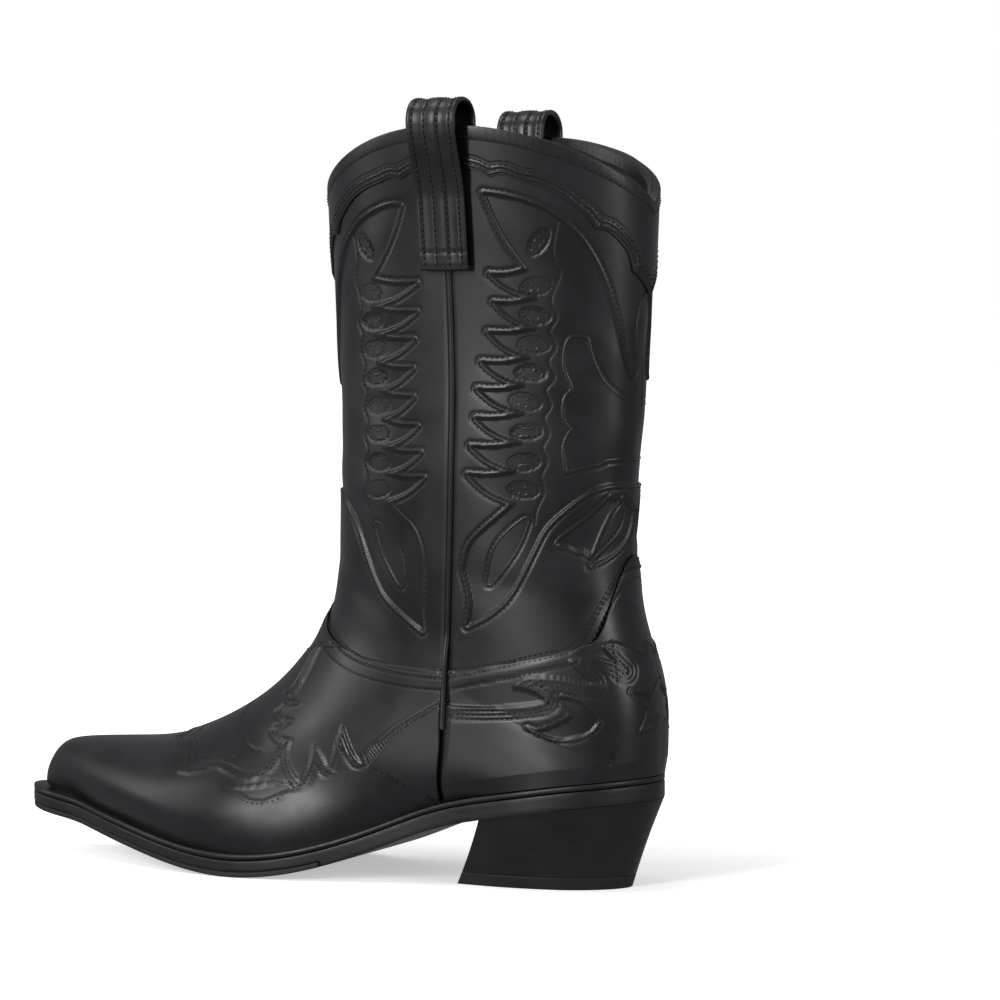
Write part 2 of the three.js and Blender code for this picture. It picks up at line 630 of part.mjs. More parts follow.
// ---- solids for cutting --------------------------------------------------------------------
function solid(geometry) {
  const bare = new THREE.BufferGeometry();
  bare.setAttribute('position', geometry.getAttribute('position'));
  if (geometry.index) bare.setIndex(geometry.index);
  const merged = mergeVertices(bare, 1e-4);
  return new wasm.Manifold(new wasm.Mesh({ numProp: 3,
    vertProperties: new Float32Array(merged.getAttribute('position').array),
    triVerts: new Uint32Array(merged.index.array) }));
}
function shape(manifold) {
  const mesh = manifold.getMesh();
  const geometry = new THREE.BufferGeometry();
  geometry.setAttribute('position', new THREE.BufferAttribute(new Float32Array(mesh.vertProperties), 3));
  geometry.setIndex(Array.from(mesh.triVerts));
  geometry.computeVertexNormals();
  return geometry;
}
const nailPlaces = [[-8, -13], [-8, 12], [14, -16], [14, 15], [31, -1]];
const nailSides = 8;
function rod(x, y, from, to, radius) {
  const geometry = new THREE.CylinderGeometry(radius, radius, to - from, nailSides);
  geometry.rotateX(Math.PI / 2);
  geometry.translate(x, y, (from + to) / 2);
  return geometry;
}
const nailHoles = nailPlaces.map(([x, y]) => solid(rod(x, y, topLiftThick + gap, seatHeight + 20,
  nailRadius + gap)));
const drilled = (geometry) => shape(nailHoles.reduce((body, hole) => body.subtract(hole), solid(geometry)));

// rungs from one X to the toe tip or the heel back, square across at that X
const rungsFrom = (x, end, reach, list) => list.map((f) => ({ '-1': lerp(shareAtX(-1, x, reach), end, f),
  '1': lerp(shareAtX(1, x, reach), end, f) }));
const stepX = rubberFrom;
const outsoleShares = [...rungsFrom(stepX, 0, weltReach.side, spread(0, 1, 18)).reverse(),
  ...rungsFrom(stepX - 1.2, 1, weltReach.side, spread(0, 1, 20))];
addMesh('outsole', drilled(soleSlab(outsoleShares, reachAt, below(outsoleTop), outsoleUnder)), blackEdge);
const halfSoleShares = rungsFrom(stepX - 2.2, 1, weltReach.side - 0.2, spread(0, 1, 20));
addMesh('half_sole', soleSlab(halfSoleShares, (s) => reachAt(s) - 0.2, below(halfSoleTop), below(outsoleLow)),
  rubberBlack);

const insoleLow = -gap;
const insoleTop = insoleLow - insoleThick;
const insoleInset = (s) => -lerp(7.9, 6, ramp(s, 0.3, 0.4));
const insoleShares = spread(0, 0.93, 26);
addMesh('insole', drilled(soleSlab(insoleShares, insoleInset, below(insoleTop), below(insoleLow))),
  { ...veg, color: 0xb98d5f });
addMesh('sock_lining', soleSlab(insoleShares, (s) => insoleInset(s) - 1, below(insoleTop - gap - sockThick),
  below(insoleTop - gap)), liningTan);

const fillerFrom = rubberFrom + 4;
const fillerInset = -(7 + gap + 0.6);
const fillerShares = rungsFrom(fillerFrom, 0.88, 0, spread(0, 1, 14));
addMesh('cork_filler', soleSlab(fillerShares, fillerInset, below(0), below(weltThick)), corkBrown);

const shank = { from: fillerFrom + 3, to: 4, width: 15, thick: 1.8 };
const shankRungs = Array.from({ length: 11 }, (_, k) => {
  const x = lerp(shank.from, shank.to, k / 10);
  const half = shank.width / 2;
  return [[x, -half, below(weltThick)(x)], [x, half, below(weltThick)(x)],
    [x, half, below(weltThick - shank.thick)(x)], [x, -half, below(weltThick - shank.thick)(x)]];
});
addMesh('steel_shank', ladder(shankRungs), steel);

// ---- heel ----------------------------------------------------------------------------------
const heelReach = weltReach.heel - gap;
const heelBackTop = heelBack + heelReach;
const heelSteps = 12;
const heelShares = (side) => spread(shareAtX(side, breastTop, heelReach), 0, heelSteps);
const underSole = (x) => featherHeight(x) - outsoleLow - gap;
function heelSolid(lowOf, topOf) {
  const runs = { '-1': heelShares(-1), '1': heelShares(1) };
  const point = (side, k, level) => {
    const [x, y] = edgePoint(side, runs[side][k], heelReach);
    const height = underSole(x);
    const footX = lerp(breastFoot, heelBackFoot, (x - breastTop) / (heelBackTop - breastTop));
    const footY = y * heelFootWidth / (seatWidth + 2 * heelReach);
    const z = level(height);
    return [lerp(footX, x, z / height), lerp(footY, y, z / height), z];
  };
  return ladder(runs['-1'].map((_, k) => [point(-1, k, lowOf), point(1, k, lowOf), point(1, k, topOf),
    point(-1, k, topOf)]));
}
const level = (z) => () => z;
addMesh('rubber_top_lift', heelSolid(level(0), level(topLiftThick)), rubberBlack);
const flatTop = underSole(breastTop) - gap - 1.2 * wedgeLifts;
const liftThick = (flatTop - topLiftThick) / flatLifts;
for (let k = 0; k < flatLifts; k++) {
  const low = topLiftThick + k * liftThick + gap;
  addMesh(`heel_lift_${k + 1}`, drilled(heelSolid(level(low), level(low + liftThick - gap))), blackEdge);
}
for (let k = 0; k < wedgeLifts; k++) {
  const part = (n) => (height) => lerp(flatTop, height, n / wedgeLifts);
  const low = (height) => part(k)(height) + gap;
  addMesh(`heel_wedge_${k + 1}`, drilled(heelSolid(low, part(k + 1))), blackEdge);
}
nailPlaces.forEach(([x, y], k) => {
  const top = featherHeight(x) - insoleTop - gap;
  addMesh(`heel_nail_${k + 1}`, rod(x, y, topLiftThick + 2 * gap, top, nailRadius), steel);
});

// ---- seam piping, bindings and collars -------------------------------------------------------
const pointAt = (p, lift) => surfacePoint(p.side, p.a, p.v)
  .addScaledVector(surfaceNormal(p.side, p.a, p.v), lift);
const seamLine = strip('front');
const pipingProud = 0.8;
for (const [word, side] of sides) {
  const top = seamLine.stationAt(side, shaftHeight - bindingDepth - gap);
  const low = seamFoot(side) - 0.22;
  const place = (i, j) => {
    const v = lerp(top, low, i);
    const seam = seamAt(side, v);
    return { side, a: seam + shareOf((j - 0.5) * pipingWidth, side, seam, v), v };
  };
  const outer = (v) => lerp(shaftOut, coverOut, ramp(v, 4.9, 5.6)) + pipingProud;
  addMesh(`side_piping_${word}`, overLast(22, 2, place, shaftIn + gap, outer), blackCalf);
}

// a folded channel over the top edge: depth below the edge, offset off the surface
const channel = [[bindingDepth, trimIn], [bindingDepth, trimOut], [-gap - trimLeather, trimOut],
  [-gap - trimLeather, liningIn - gap - trimLeather], [bindingDepth, liningIn - gap - trimLeather],
  [bindingDepth, liningIn - gap], [-gap, liningIn - gap], [-gap, trimIn]];
function topBinding(where) {
  const s = strip(where, gap / 2);
  const cols = 24;
  const n = channel.length;
  const verts = [];
  for (let j = 0; j <= cols; j++) {
    const t = 2 * j / cols - 1;
    for (const [depth, lift] of channel) {
      verts.push(...pointAt(s.at(t, s.stationAt(t, topLine(t) - depth)), lift).toArray());
    }
  }
  const tris = [];
  for (let j = 0; j < cols; j++) {
    for (let e = 0; e < n; e++) {
      const f = (e + 1) % n;
      const [a, b] = [j * n, j * n + n];
      tris.push(a + e, a + f, b + f, a + e, b + f, b + e);
    }
  }
  const cap = THREE.ShapeUtils.triangulateShape(channel.map((p) => new THREE.Vector2(...p)), []);
  for (const [a, b, c] of cap) {
    tris.push(a, c, b, cols * n + a, cols * n + b, cols * n + c);
  }
  return welded(verts, tris);
}
const collarLine = (t) => topLine(t) - collarDepth - 17 * (1 - Math.abs(t)) ** 3;
function collar(where) {
  const s = strip(where, seamHalf);
  return overLast(3, 20, (i, j) => {
    const t = 2 * j - 1;
    return s.at(t, s.stationAt(t, lerp(topLine(t) - bindingDepth - gap, collarLine(t), i)));
  }, trimIn, trimOut);
}
for (const where of ['front', 'back']) {
  addMesh(`top_binding_${where}`, topBinding(where), blackCalf);
  addMesh(`collar_${where}`, collar(where), blackCalf);
}

// ---- ornament sewn onto the shaft, the vamp and the counter ---------------------------------
// rows of [height, start, end]: distances in mm from the side seam, towards the panel's middle
function halfPanel(s, side, z) {
  const steps = 12;
  let length = 0;
  let last = null;
  for (let k = 0; k <= steps; k++) {
    const t = side * Math.max(k / steps, 1e-4);
    const here = pointAt(s.at(t, s.stationAt(t, z)), 0);
    if (last) length += here.distanceTo(last);
    last = here;
  }
  return length;
}
function applique(name, where, side, rows, cols, low, high) {
  const s = strip(where);
  const place = (i, j) => {
    const [z, from, to] = rows[Math.round(i * (rows.length - 1))];
    const t = side * Math.max(1 - lerp(from, to, j) / halfPanel(s, side, z), 1e-4);
    return s.at(t, s.stationAt(t, z));
  };
  addMesh(name, overLast(rows.length - 1, cols, place, low, high), blackCalf);
}
const wingIn = trimIn + 0.4;   // the wings ride a little higher, over the shaft's own curve
const wingTop = 296;
const wingTeeth = 8;
const toothPitch = 16.5;
const wingRows = [[wingTop, 25, 33]];
for (let k = 0; k < wingTeeth; k++) {
  const z = wingTop - 14 - k * toothPitch;
  wingRows.push([z, 31, 45 + 3 * Math.sin(k)], [z - toothPitch * 0.35, 17 + k * 0.4, 45 + 3 * Math.sin(k)]);
}
wingRows.push([142, 30, 40], [128, 14, 34], [114, 12, 26], [104, 15, 18]);
for (const [word, side] of sides) {
  for (const where of ['front', 'back']) applique(`wing_${where}_${word}`, where, side, wingRows, 4, wingIn, wingIn + trimLeather);
}

// ---- pull straps ---------------------------------------------------------------------------
function pullStrap(side) {
  const sample = (z) => {
    const v = seamLine.stationAt(side, z);
    return surfacePoint(side, seamAt(side, v), v);
  };
  const away = (z) => strapBow * ramp(z, shaftHeight - 0.5 * strapDrop, shaftHeight);
  const outerY = (z) => sample(z).y * side + trimOut + pipingProud + gap + strapThick / 2 + away(z);
  const innerY = (z) => sample(z).y * side + liningIn - 4 * gap - strapThick / 2 - away(z);
  const mid = [];
  const archFrom = shaftHeight + 2;
  for (let k = 0; k <= 8; k++) {
    const z = lerp(shaftHeight - strapDrop, archFrom, k / 8);
    mid.push([outerY(z), z]);
  }
  const archHeight = strapRise - strapThick / 2 - 2;
  const [yo, yi] = [outerY(archFrom), innerY(archFrom)];
  for (let k = 1; k < 10; k++) {
    const angle = Math.PI * k / 10;
    mid.push([lerp(yo, yi, (1 - Math.cos(angle)) / 2), archFrom + archHeight * Math.sin(angle) ** 0.8]);
  }
  for (let k = 8; k >= 1; k--) {
    const z = lerp(shaftHeight - strapDrop, archFrom, k / 8);
    mid.push([innerY(z), z]);
  }
  const offset = (d) => mid.map(([y, z], k) => {
    const [a, b] = [mid[Math.max(k - 1, 0)], mid[Math.min(k + 1, mid.length - 1)]];
    const [dy, dz] = [b[0] - a[0], b[1] - a[1]];
    const size = Math.hypot(dy, dz);
    return new THREE.Vector2(side * (y + d * dz / size), z - d * dy / size);
  });
  const outline = new THREE.Shape([...offset(strapThick / 2), ...offset(-strapThick / 2).reverse()]);
  const band = new THREE.ExtrudeGeometry(outline, { depth: strapWidth, bevelEnabled: false });
  band.applyMatrix4(new THREE.Matrix4().makeBasis(new THREE.Vector3(0, 1, 0), new THREE.Vector3(0, 0, 1),
    new THREE.Vector3(1, 0, 0)));
  band.translate(seamX(shaftHeight) - strapWidth / 2, 0, 0);
  return band;
}
for (const [word, side] of sides) addMesh(`pull_strap_${word}`, pullStrap(side), blackCalf);

export default boot;
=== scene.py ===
import json
import math

import bpy
import numpy as np
from mathutils import Matrix, Vector
from mathutils.kdtree import KDTree


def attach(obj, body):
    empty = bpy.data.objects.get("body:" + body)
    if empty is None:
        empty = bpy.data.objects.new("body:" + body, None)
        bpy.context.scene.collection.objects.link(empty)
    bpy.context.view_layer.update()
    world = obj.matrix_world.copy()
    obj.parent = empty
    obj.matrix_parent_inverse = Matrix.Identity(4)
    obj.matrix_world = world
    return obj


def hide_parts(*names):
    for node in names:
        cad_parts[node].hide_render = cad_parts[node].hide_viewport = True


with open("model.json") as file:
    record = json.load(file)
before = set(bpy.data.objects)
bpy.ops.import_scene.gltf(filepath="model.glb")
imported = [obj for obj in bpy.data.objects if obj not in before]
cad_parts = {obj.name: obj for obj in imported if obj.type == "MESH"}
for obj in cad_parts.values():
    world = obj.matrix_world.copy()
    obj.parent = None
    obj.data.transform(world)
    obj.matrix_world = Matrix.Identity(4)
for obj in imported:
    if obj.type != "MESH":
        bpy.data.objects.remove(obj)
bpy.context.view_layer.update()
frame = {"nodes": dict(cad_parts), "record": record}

record = frame["record"]
MM = 0.001

# ---- the last: the surface that every leather piece is stretched over, in millimetres -------
SHAFT_HEIGHT, TOP_DIP, TOP_WIDTH, TOP_DEPTH = 330.0, 33.0, 95.5, 153.0
ANKLE_WIDTH, ANKLE_DEPTH, SHAFT_LEAN, THROAT = 71.0, 142.0, 7.0, 200.0
SEAT_HEIGHT, TOE_SPRING, TOE_BOX = 50.0, 30.0, 22.0
FOOT_LENGTH, HEEL_BACK = 308.0, 50.0
BALL_WIDTH, WAIST_WIDTH, SEAT_WIDTH, TOE_WIDTH = 91.0, 58.0, 71.0, 15.0
LEATHER, SHAFT_LEATHER, TRIM, GAP = 1.5, 1.4, 0.9, 0.3
WELT, OUTSOLE, RUBBER = 2.8, 7.2, 2.4
STRAP_WIDTH, STRAP_THICK, STRAP_RISE, STRAP_DROP, STRAP_BOW = 23.0, 2.6, 13.0, 61.0, 5.5
PIPING, BINDING, TOP_LIFT = 2.0, 5.0, 5.6
BALL_REST = WELT + OUTSOLE + 1.5 * GAP + GAP / 2
CORNER, TIP = 6, 17           # stations along the last: 0 the top, 6 the heel corner, 17 the toe
OUTER, INNER = -1, 1          # the two sides of the foot, and of every pattern
SIDES = (OUTER, INNER)
QUARTER_ARC = .5523           # handle of a cubic curve that draws a quarter of a circle


def lerp(a, b, f):
    return a + (b - a) * f


def ramp(x, a, b):
    """0 before a and 1 after b, with an easy slope between."""
    f = np.clip((np.asarray(x, float) - a) / (b - a), 0, 1)
    return f * f * (3 - 2 * f)


def natural(values):
    """A natural cubic spline through values at 0, 1, 2 and so on."""
    y = np.array(values, float)
    n = len(y)
    rows, right = np.eye(n), np.zeros(n)
    for i in range(1, n - 1):
        rows[i, i - 1:i + 2] = 1, 4, 1
        right[i] = 6 * (y[i + 1] - 2 * y[i] + y[i - 1])
    m = np.linalg.solve(rows, right)

    def at(t):
        t = np.asarray(t, float)
        i = np.clip(np.floor(t).astype(int), 0, n - 2)
        f = t - i
        g = 1 - f
        return g * y[i] + f * y[i + 1] + ((g ** 3 - g) * m[i] + (f ** 3 - f) * m[i + 1]) / 6
    return at


def travelled(points):
    """How far each point of a run lies from its first one; runs may be stacked."""
    steps = np.linalg.norm(np.diff(points, axis=-2), axis=-1)
    return np.concatenate([np.zeros(steps.shape[:-1] + (1,)), np.cumsum(steps, -1)], -1)


def read_grid(grid, k, m):
    """The value of a grid at row k and column m, which may lie between its points."""
    i, j = k.astype(int), m.astype(int)
    f, g = k - i, m - j
    return ((grid[i, j] * (1 - g) + grid[i, j + 1] * g) * (1 - f)
            + (grid[i + 1, j] * (1 - g) + grid[i + 1, j + 1] * g) * f)


def along(share):
    """x of a share of the foot's length from the heel."""
    return HEEL_BACK - share * FOOT_LENGTH


FEATHER = {
    -1: [(.04, SEAT_WIDTH * .335), (.1, SEAT_WIDTH * .468), (.17, SEAT_WIDTH * .498),
         (.25, WAIST_WIDTH * .56), (.33, WAIST_WIDTH * .55), (.42, BALL_WIDTH * .4),
         (.51, BALL_WIDTH * .475), (.605, BALL_WIDTH * .508), (.69, BALL_WIDTH * .47),
         (.775, BALL_WIDTH * .378), (.855, BALL_WIDTH * .262), (.925, BALL_WIDTH * .15),
         (.975, TOE_WIDTH * .58)],
    1: [(.04, SEAT_WIDTH * .335), (.1, SEAT_WIDTH * .462), (.17, SEAT_WIDTH * .484),
        (.25, WAIST_WIDTH * .5), (.33, WAIST_WIDTH * .445), (.42, BALL_WIDTH * .31),
        (.51, BALL_WIDTH * .405), (.605, BALL_WIDTH * .482), (.69, BALL_WIDTH * .475),
        (.775, BALL_WIDTH * .388), (.855, BALL_WIDTH * .268), (.925, BALL_WIDTH * .152),
        (.975, TOE_WIDTH * .56)]}


def feather_curve(side):
    """The line where the upper meets the welt: x, y and outward normal against its share."""
    heel = 4                                 # this knot is the middle of the heel
    own = [(p, side * y) for p, y in FEATHER[side]]
    other = [(p, -side * y) for p, y in FEATHER[-side]]
    loop = other[:heel][::-1] + [(0, 0)] + own + [(1, 0)] + other[-3:][::-1]
    x = natural([along(p[0]) for p in loop])
    y = natural([p[1] for p in loop])
    t = heel + (len(own) + 1) * np.linspace(0, 1, 1201)
    xs, ys = x(t), y(t)
    travel = travelled(np.stack([xs, ys], 1))
    e = 0.01
    tx, ty = x(t + e) - x(t - e), y(t + e) - y(t - e)
    size = np.hypot(tx, ty)
    columns = (xs, ys, side * ty / size, -side * tx / size)

    def at(share):
        want = np.clip(share, 0, 1) * travel[-1]
        return tuple(np.interp(want, travel, c) for c in columns)
    return at


feather = {side: feather_curve(side) for side in SIDES}
feather_rise = natural([SEAT_HEIGHT, .94 * SEAT_HEIGHT, .845 * SEAT_HEIGHT, .71 * SEAT_HEIGHT,
                        .475 * SEAT_HEIGHT, BALL_REST + 3.6, BALL_REST, BALL_REST + 2.6,
                        lerp(BALL_REST, TOE_SPRING, .42), lerp(BALL_REST, TOE_SPRING, .72),
                        TOE_SPRING])


def feather_height(x):
    """Height of the feather line over the floor."""
    return feather_rise(np.clip((HEEL_BACK - x) / FOOT_LENGTH, -.03, 1.03) * 10)


TOP_Z = SHAFT_HEIGHT + 14
FRONT_TOP, FRONT_THROAT = HEEL_BACK - 1 - TOP_DEPTH, 40.5 - ANKLE_DEPTH
front_line = [(FRONT_TOP, TOP_Z), (lerp(FRONT_TOP, FRONT_THROAT, .7), lerp(THROAT, TOP_Z, .42)),
              (FRONT_THROAT + .4, THROAT), (FRONT_THROAT, 176), (FRONT_THROAT - .8, 154),
              (FRONT_THROAT - 2.6, 136), (FRONT_THROAT - 5.4, 122), (FRONT_THROAT - 10.6, 109),
              (FRONT_THROAT - 19, 96.5), (along(.597), 83), (along(.648), 72), (along(.706), 63),
              (along(.778), 56), (along(.858), TOE_SPRING + TOE_BOX + 1.6),
              (along(.935), TOE_SPRING + TOE_BOX + .2), (along(.975), TOE_SPRING + TOE_BOX - 3),
              (along(.994), TOE_SPRING + TOE_BOX * .5), (along(1), TOE_SPRING + 3)]
back_line = [(HEEL_BACK + 1.6, TOP_Z), (48.4, lerp(THROAT, TOP_Z, .42)), (43.6, THROAT - 3),
             (40.4, 160), (40.9, 122), (49.6, 88), (HEEL_BACK, SEAT_HEIGHT)]
front_x, front_z = (natural([p[k] for p in front_line]) for k in (0, 1))
back_x, back_z = (natural([p[k] for p in back_line]) for k in (0, 1))
share_curve = natural([0, .1, .215, .33, .445, .57, .68, .78, .87, .93, .965, .985])
widest = natural([.49] * 5 + [.5, .5, .52, .55, .6, .66, .7, .7, .68, .66, .64, .62, .6])
ridge = natural([.56] * 5 + [.54, .52, .5, .46, .42, .4, .42, .48, .54, .56, .56, .56, .56])
shoulder = natural([.56] * 6 + [.55, .54, .52, .5, .5, .5, .5, .52, .54, .56, .56, .56])
tuck = natural([0] * 7 + [.12, .3, .36, .22, .14, .1, .08, .06, .05, .05, .05])
heel_round = natural([.56, .56, .57, .6, .66, .73, .78, .76, .66, .58] + [.56] * 8)


def speed_up(d, end, slack=0.35):
    """Steps that start short at the heel corner and reach the end together."""
    return d * abs(d) / (abs(d) + slack) * end / (end * end / (end + slack))


def lower_point(side, v):
    """Where a section ends: on the back line over the heel corner, then on the feather line."""
    d = v - CORNER
    t = CORNER - speed_up(-np.minimum(d, 0), CORNER)
    fx, fy, ox, oy = feather[side](share_curve(speed_up(np.maximum(d, 0), TIP - CORNER)))
    closed = d <= 0
    return (np.where(closed, back_x(t), fx), np.where(closed, 0, abs(fy)),
            np.where(closed, back_z(t), feather_height(fx)), ox, abs(oy), closed)


def section_table(side, steps=3400):
    """The two curves of every section: front point, direction, reaches and half widths."""
    v = np.linspace(0, TIP, steps + 1)
    still = [TOP_WIDTH / 2 + 1, lerp(ANKLE_WIDTH, TOP_WIDTH, .29) / 2,
             lerp(ANKLE_WIDTH, TOP_WIDTH, .13) / 2 + 1, ANKLE_WIDTH / 2 + 1.9,
             ANKLE_WIDTH / 2 + .8, ANKLE_WIDTH / 2 + .2, ANKLE_WIDTH / 2 + .2,
             ANKLE_WIDTH / 2 + .7, ANKLE_WIDTH / 2 + 1.6]
    bulge = [6.6, 5.4, 3, 1.6] if side < 0 else [10, 8, 4, 1.8]
    edge = lower_point(side, np.arange(9, 18).astype(float))[1]
    w = natural(still + list(edge + np.array(bulge + [1.4, 1.2, 1, .8, .6])))(v)
    lx, ly, lz, ox, oy, closed = lower_point(side, v)
    fx, fz = front_x(v), front_z(v)
    reach = np.hypot(lx - fx, lz - fz)
    dx, dz = (lx - fx) / reach, (lz - fz) / reach
    wide = widest(v) * reach
    flat = np.where(closed, np.pi / 2, np.arctan2(dx * np.maximum(ox, 0), oy) + tuck(v))
    down = heel_round(v) / np.hypot(np.sin(flat) / np.maximum(w - ly, .5),
                                    np.cos(flat) / (reach - wide))
    zero = np.zeros_like(v)
    r = [zero, zero, wide * (1 - shoulder(v)), wide,
         wide + lerp(QUARTER_ARC, heel_round(v), .6) * (reach - wide), reach - down * np.cos(flat), reach]
    y = [zero, ridge(v) * w, w, w, w, ly + down * np.sin(flat), ly]
    return np.stack([fx, fz, dx, dz] + r + y, 1)


SECTIONS = {side: section_table(side) for side in SIDES}


def surface(side, a, v):
    """Points of the last: a runs from the front line, 0, to the back or feather line, 1."""
    side, a, v = np.broadcast_arrays(side, np.asarray(a, float), np.asarray(v, float))
    n = len(SECTIONS[1]) - 1
    f = np.clip(v / TIP * n, 0, n - 1e-6)
    i = f.astype(int)
    f = (f - i)[..., None]
    rows = np.where((side < 0)[..., None], SECTIONS[-1][i] * (1 - f) + SECTIONS[-1][i + 1] * f,
                    SECTIONS[1][i] * (1 - f) + SECTIONS[1][i + 1] * f)
    first = a < .5
    t = np.where(first, 2 * a, 2 * a - 1)
    s = 1 - t
    weights = [s ** 3, 3 * s * s * t, 3 * s * t * t, t ** 3]
    r = sum(c * np.where(first, rows[..., 4 + k], rows[..., 7 + k]) for k, c in enumerate(weights))
    y = sum(c * np.where(first, rows[..., 11 + k], rows[..., 14 + k]) for k, c in enumerate(weights))
    z = rows[..., 1] + rows[..., 3] * r
    lean = -SHAFT_LEAN * ramp(z, 60, SHAFT_HEIGHT) - .018 * np.maximum(z - SHAFT_HEIGHT, 0)
    return np.stack([rows[..., 0] + rows[..., 2] * r, side * y + lean, z], -1)


def around(side, a, v):
    """The same, but a may run over the front or back line onto the other side."""
    back = (a > 1) & (v <= CORNER)
    over = (a < 0) | back
    return surface(np.where(over, -side, side),
                   np.where(a < 0, -a, np.where(back, 2 - a, np.minimum(a, 1))), v)


def unit(vectors):
    """The same directions, each one long."""
    return vectors / np.maximum(np.linalg.norm(vectors, axis=-1, keepdims=True), 1e-12)


def last_normal(side, a, v):
    """Outward directions on the last, which never point down."""
    side, a, v = np.broadcast_arrays(side, np.asarray(a, float), np.asarray(v, float))
    near = lerp(1, 0.95, ramp(v, CORNER - 0.3, CORNER) * (1 - ramp(v, CORNER + 0.8, CORNER + 1.6)))
    at = np.minimum(np.minimum(a, near), np.where(v > CORNER, 0.99, 1))
    e = 0.01
    da = around(side, at + e, v) - around(side, at - e, v)
    dv = surface(side, at, np.minimum(v + e, TIP)) - surface(side, at, np.maximum(v - e, 0))
    normal = unit(np.cross(da, dv) * side[..., None])
    normal[..., 2] = np.maximum(normal[..., 2], 0)
    return unit(normal)


# ---- lines on the last ----------------------------------------------------------------------
# how far each face of each skin lies out from the last
SHAFT_OUT = -GAP
SHAFT_IN = SHAFT_OUT - SHAFT_LEATHER
LINING_OUT = SHAFT_IN - 2 * GAP
LINING_IN = LINING_OUT - 1.1
TRIM_IN = GAP + 0.05
TRIM_OUT = TRIM_IN + TRIM
COVER_IN = 0.2
COVER_OUT = COVER_IN + LEATHER
SEAM_HALF = PIPING / 2 + GAP
DROP = 8.0                    # the counter leaves the last this far over the feather line
WELT_CLEAR = 0.2
UP_TO_HEEL = 1050             # stations of the body table down to under the heel corner


def seam_x(z):
    """Where the side seams run, at height z."""
    return -29 - 7 * (1 - ramp(z, 60, 230)) - 0.1 * np.maximum(60 - z, 0)


# heights of the pieces' top edges: t is -1 at the outer side seam, 0 in the middle, 1 at the inner
def top_line(t):
    return SHAFT_HEIGHT - TOP_DIP * (1 - np.sin(np.pi / 2 * np.minimum(abs(t), 1)) ** 0.9)


def vamp_line(t):
    return 96 + 26 * (1 - abs(t)) ** 2.2


def counter_line(t):
    return 96 + 22 * (1 - abs(t)) + 28 * ramp(1 - abs(t), .55, .95)


SHARE_CELLS, PER_STATION = 300, 100
SHARES = np.linspace(0, 1, SHARE_CELLS + 1)
STATIONS = np.linspace(0, TIP, TIP * PER_STATION + 1)
BODY = {side: surface(side, SHARES[None, :], STATIONS[:, None]) for side in SIDES}


def seam_shares(side):
    """Share of each section at which the side seam crosses it, or 1 past the seam's foot."""
    past = BODY[side][..., 0] - seam_x(BODY[side][..., 2])
    return np.array([1.0 if row[-1] < 0 else np.interp(0, row, SHARES) for row in past])


SEAM = {side: seam_shares(side) for side in SIDES}


def seam_station(side, z, stations):
    """Station at which the side seam has come down to height z."""
    rows = range(len(stations))
    height = [np.interp(SEAM[side][k], SHARES, BODY[side][k, :, 2]) for k in rows]
    return np.interp(-z, -np.array(height), stations)


def share_on_strip(where, side, t, v, seam_gap):
    """Share of the section at t, 0 in the middle of the strip and 1 at its side seam."""
    seam = np.interp(v, STATIONS, SEAM[side])
    e = 0.01
    width = np.linalg.norm(around(side, seam + e, v) - around(side, seam - e, v), axis=-1)
    cut = seam_gap * 2 * e / width
    open_edge = seam >= 1
    front = np.where(open_edge, 1, seam - cut)
    back = np.where(open_edge, 0, 1 - seam - cut)
    return abs(t) * front if where == "front" else 1 - abs(t) * back


def station_at(where, side, t, z, seam_gap):
    """Station where each column t of the strip crosses height z."""
    v = np.linspace(0, 12 if where == "front" else 9.9, 700)
    found = []
    for column, height in zip(np.ravel(t), np.ravel(z)):
        a = share_on_strip(where, side, column, v, seam_gap)
        run = surface(side, a, v)[:, 2]
        stop = np.argmax(run < height - 1) or len(run) - 1
        found.append(np.interp(-height, -run[:stop + 1], v[:stop + 1]))
    return np.array(found)


# level lines: for each height, how far along the leather a point is from the side seam
LEVEL_STEP = 2.0
LEVELS = np.arange(40.0, 344.0, LEVEL_STEP)


def level_tables(side):
    """Station and millimetres from the side seam, against height and share."""
    columns = BODY[side][:UP_TO_HEEL, :, 2].T
    stations = np.stack([np.interp(-LEVELS, -z, STATIONS[:UP_TO_HEEL]) for z in columns], 1)
    points = surface(side, SHARES[None, :], stations)
    run = travelled(points)
    seam = np.array([np.interp(seam_x(level), points[k, :, 0], run[k])
                     for k, level in enumerate(LEVELS)])
    return stations, run - seam[:, None]


LEVEL = {side: level_tables(side) for side in SIDES}
STEPS = np.linspace(0, 1, 241)


def panel_tables(side, where):
    """Share and station against height and the fraction of the way from seam to middle."""
    stations, run = LEVEL[side]
    ends = run[:, -1] if where == "back" else run[:, 0]
    a = np.stack([np.interp(STEPS * ends[k], run[k], SHARES) for k in range(len(LEVELS))])
    v = np.stack([np.interp(a[k], SHARES, stations[k]) for k in range(len(LEVELS))])
    return abs(ends), a, v


PANEL = {(side, where): panel_tables(side, where) for side in SIDES for where in ("front", "back")}


def half_width(side, where, z):
    """Millimetres of leather from the side seam to the middle of a panel."""
    return np.interp(z, LEVELS, PANEL[side, where][0])


def on_level(side, where, s, z):
    """Share and station of the point s millimetres from the side seam at height z."""
    _, shares, stations = PANEL[side, where]
    z = np.clip(z, LEVELS[0], LEVELS[-1] - 1e-6)
    u = np.clip(s / half_width(side, where, z), 0, 1 - 1e-9)
    k, m = (z - LEVELS[0]) / LEVEL_STEP, u * (len(STEPS) - 1)
    return read_grid(shares, k, m), read_grid(stations, k, m)


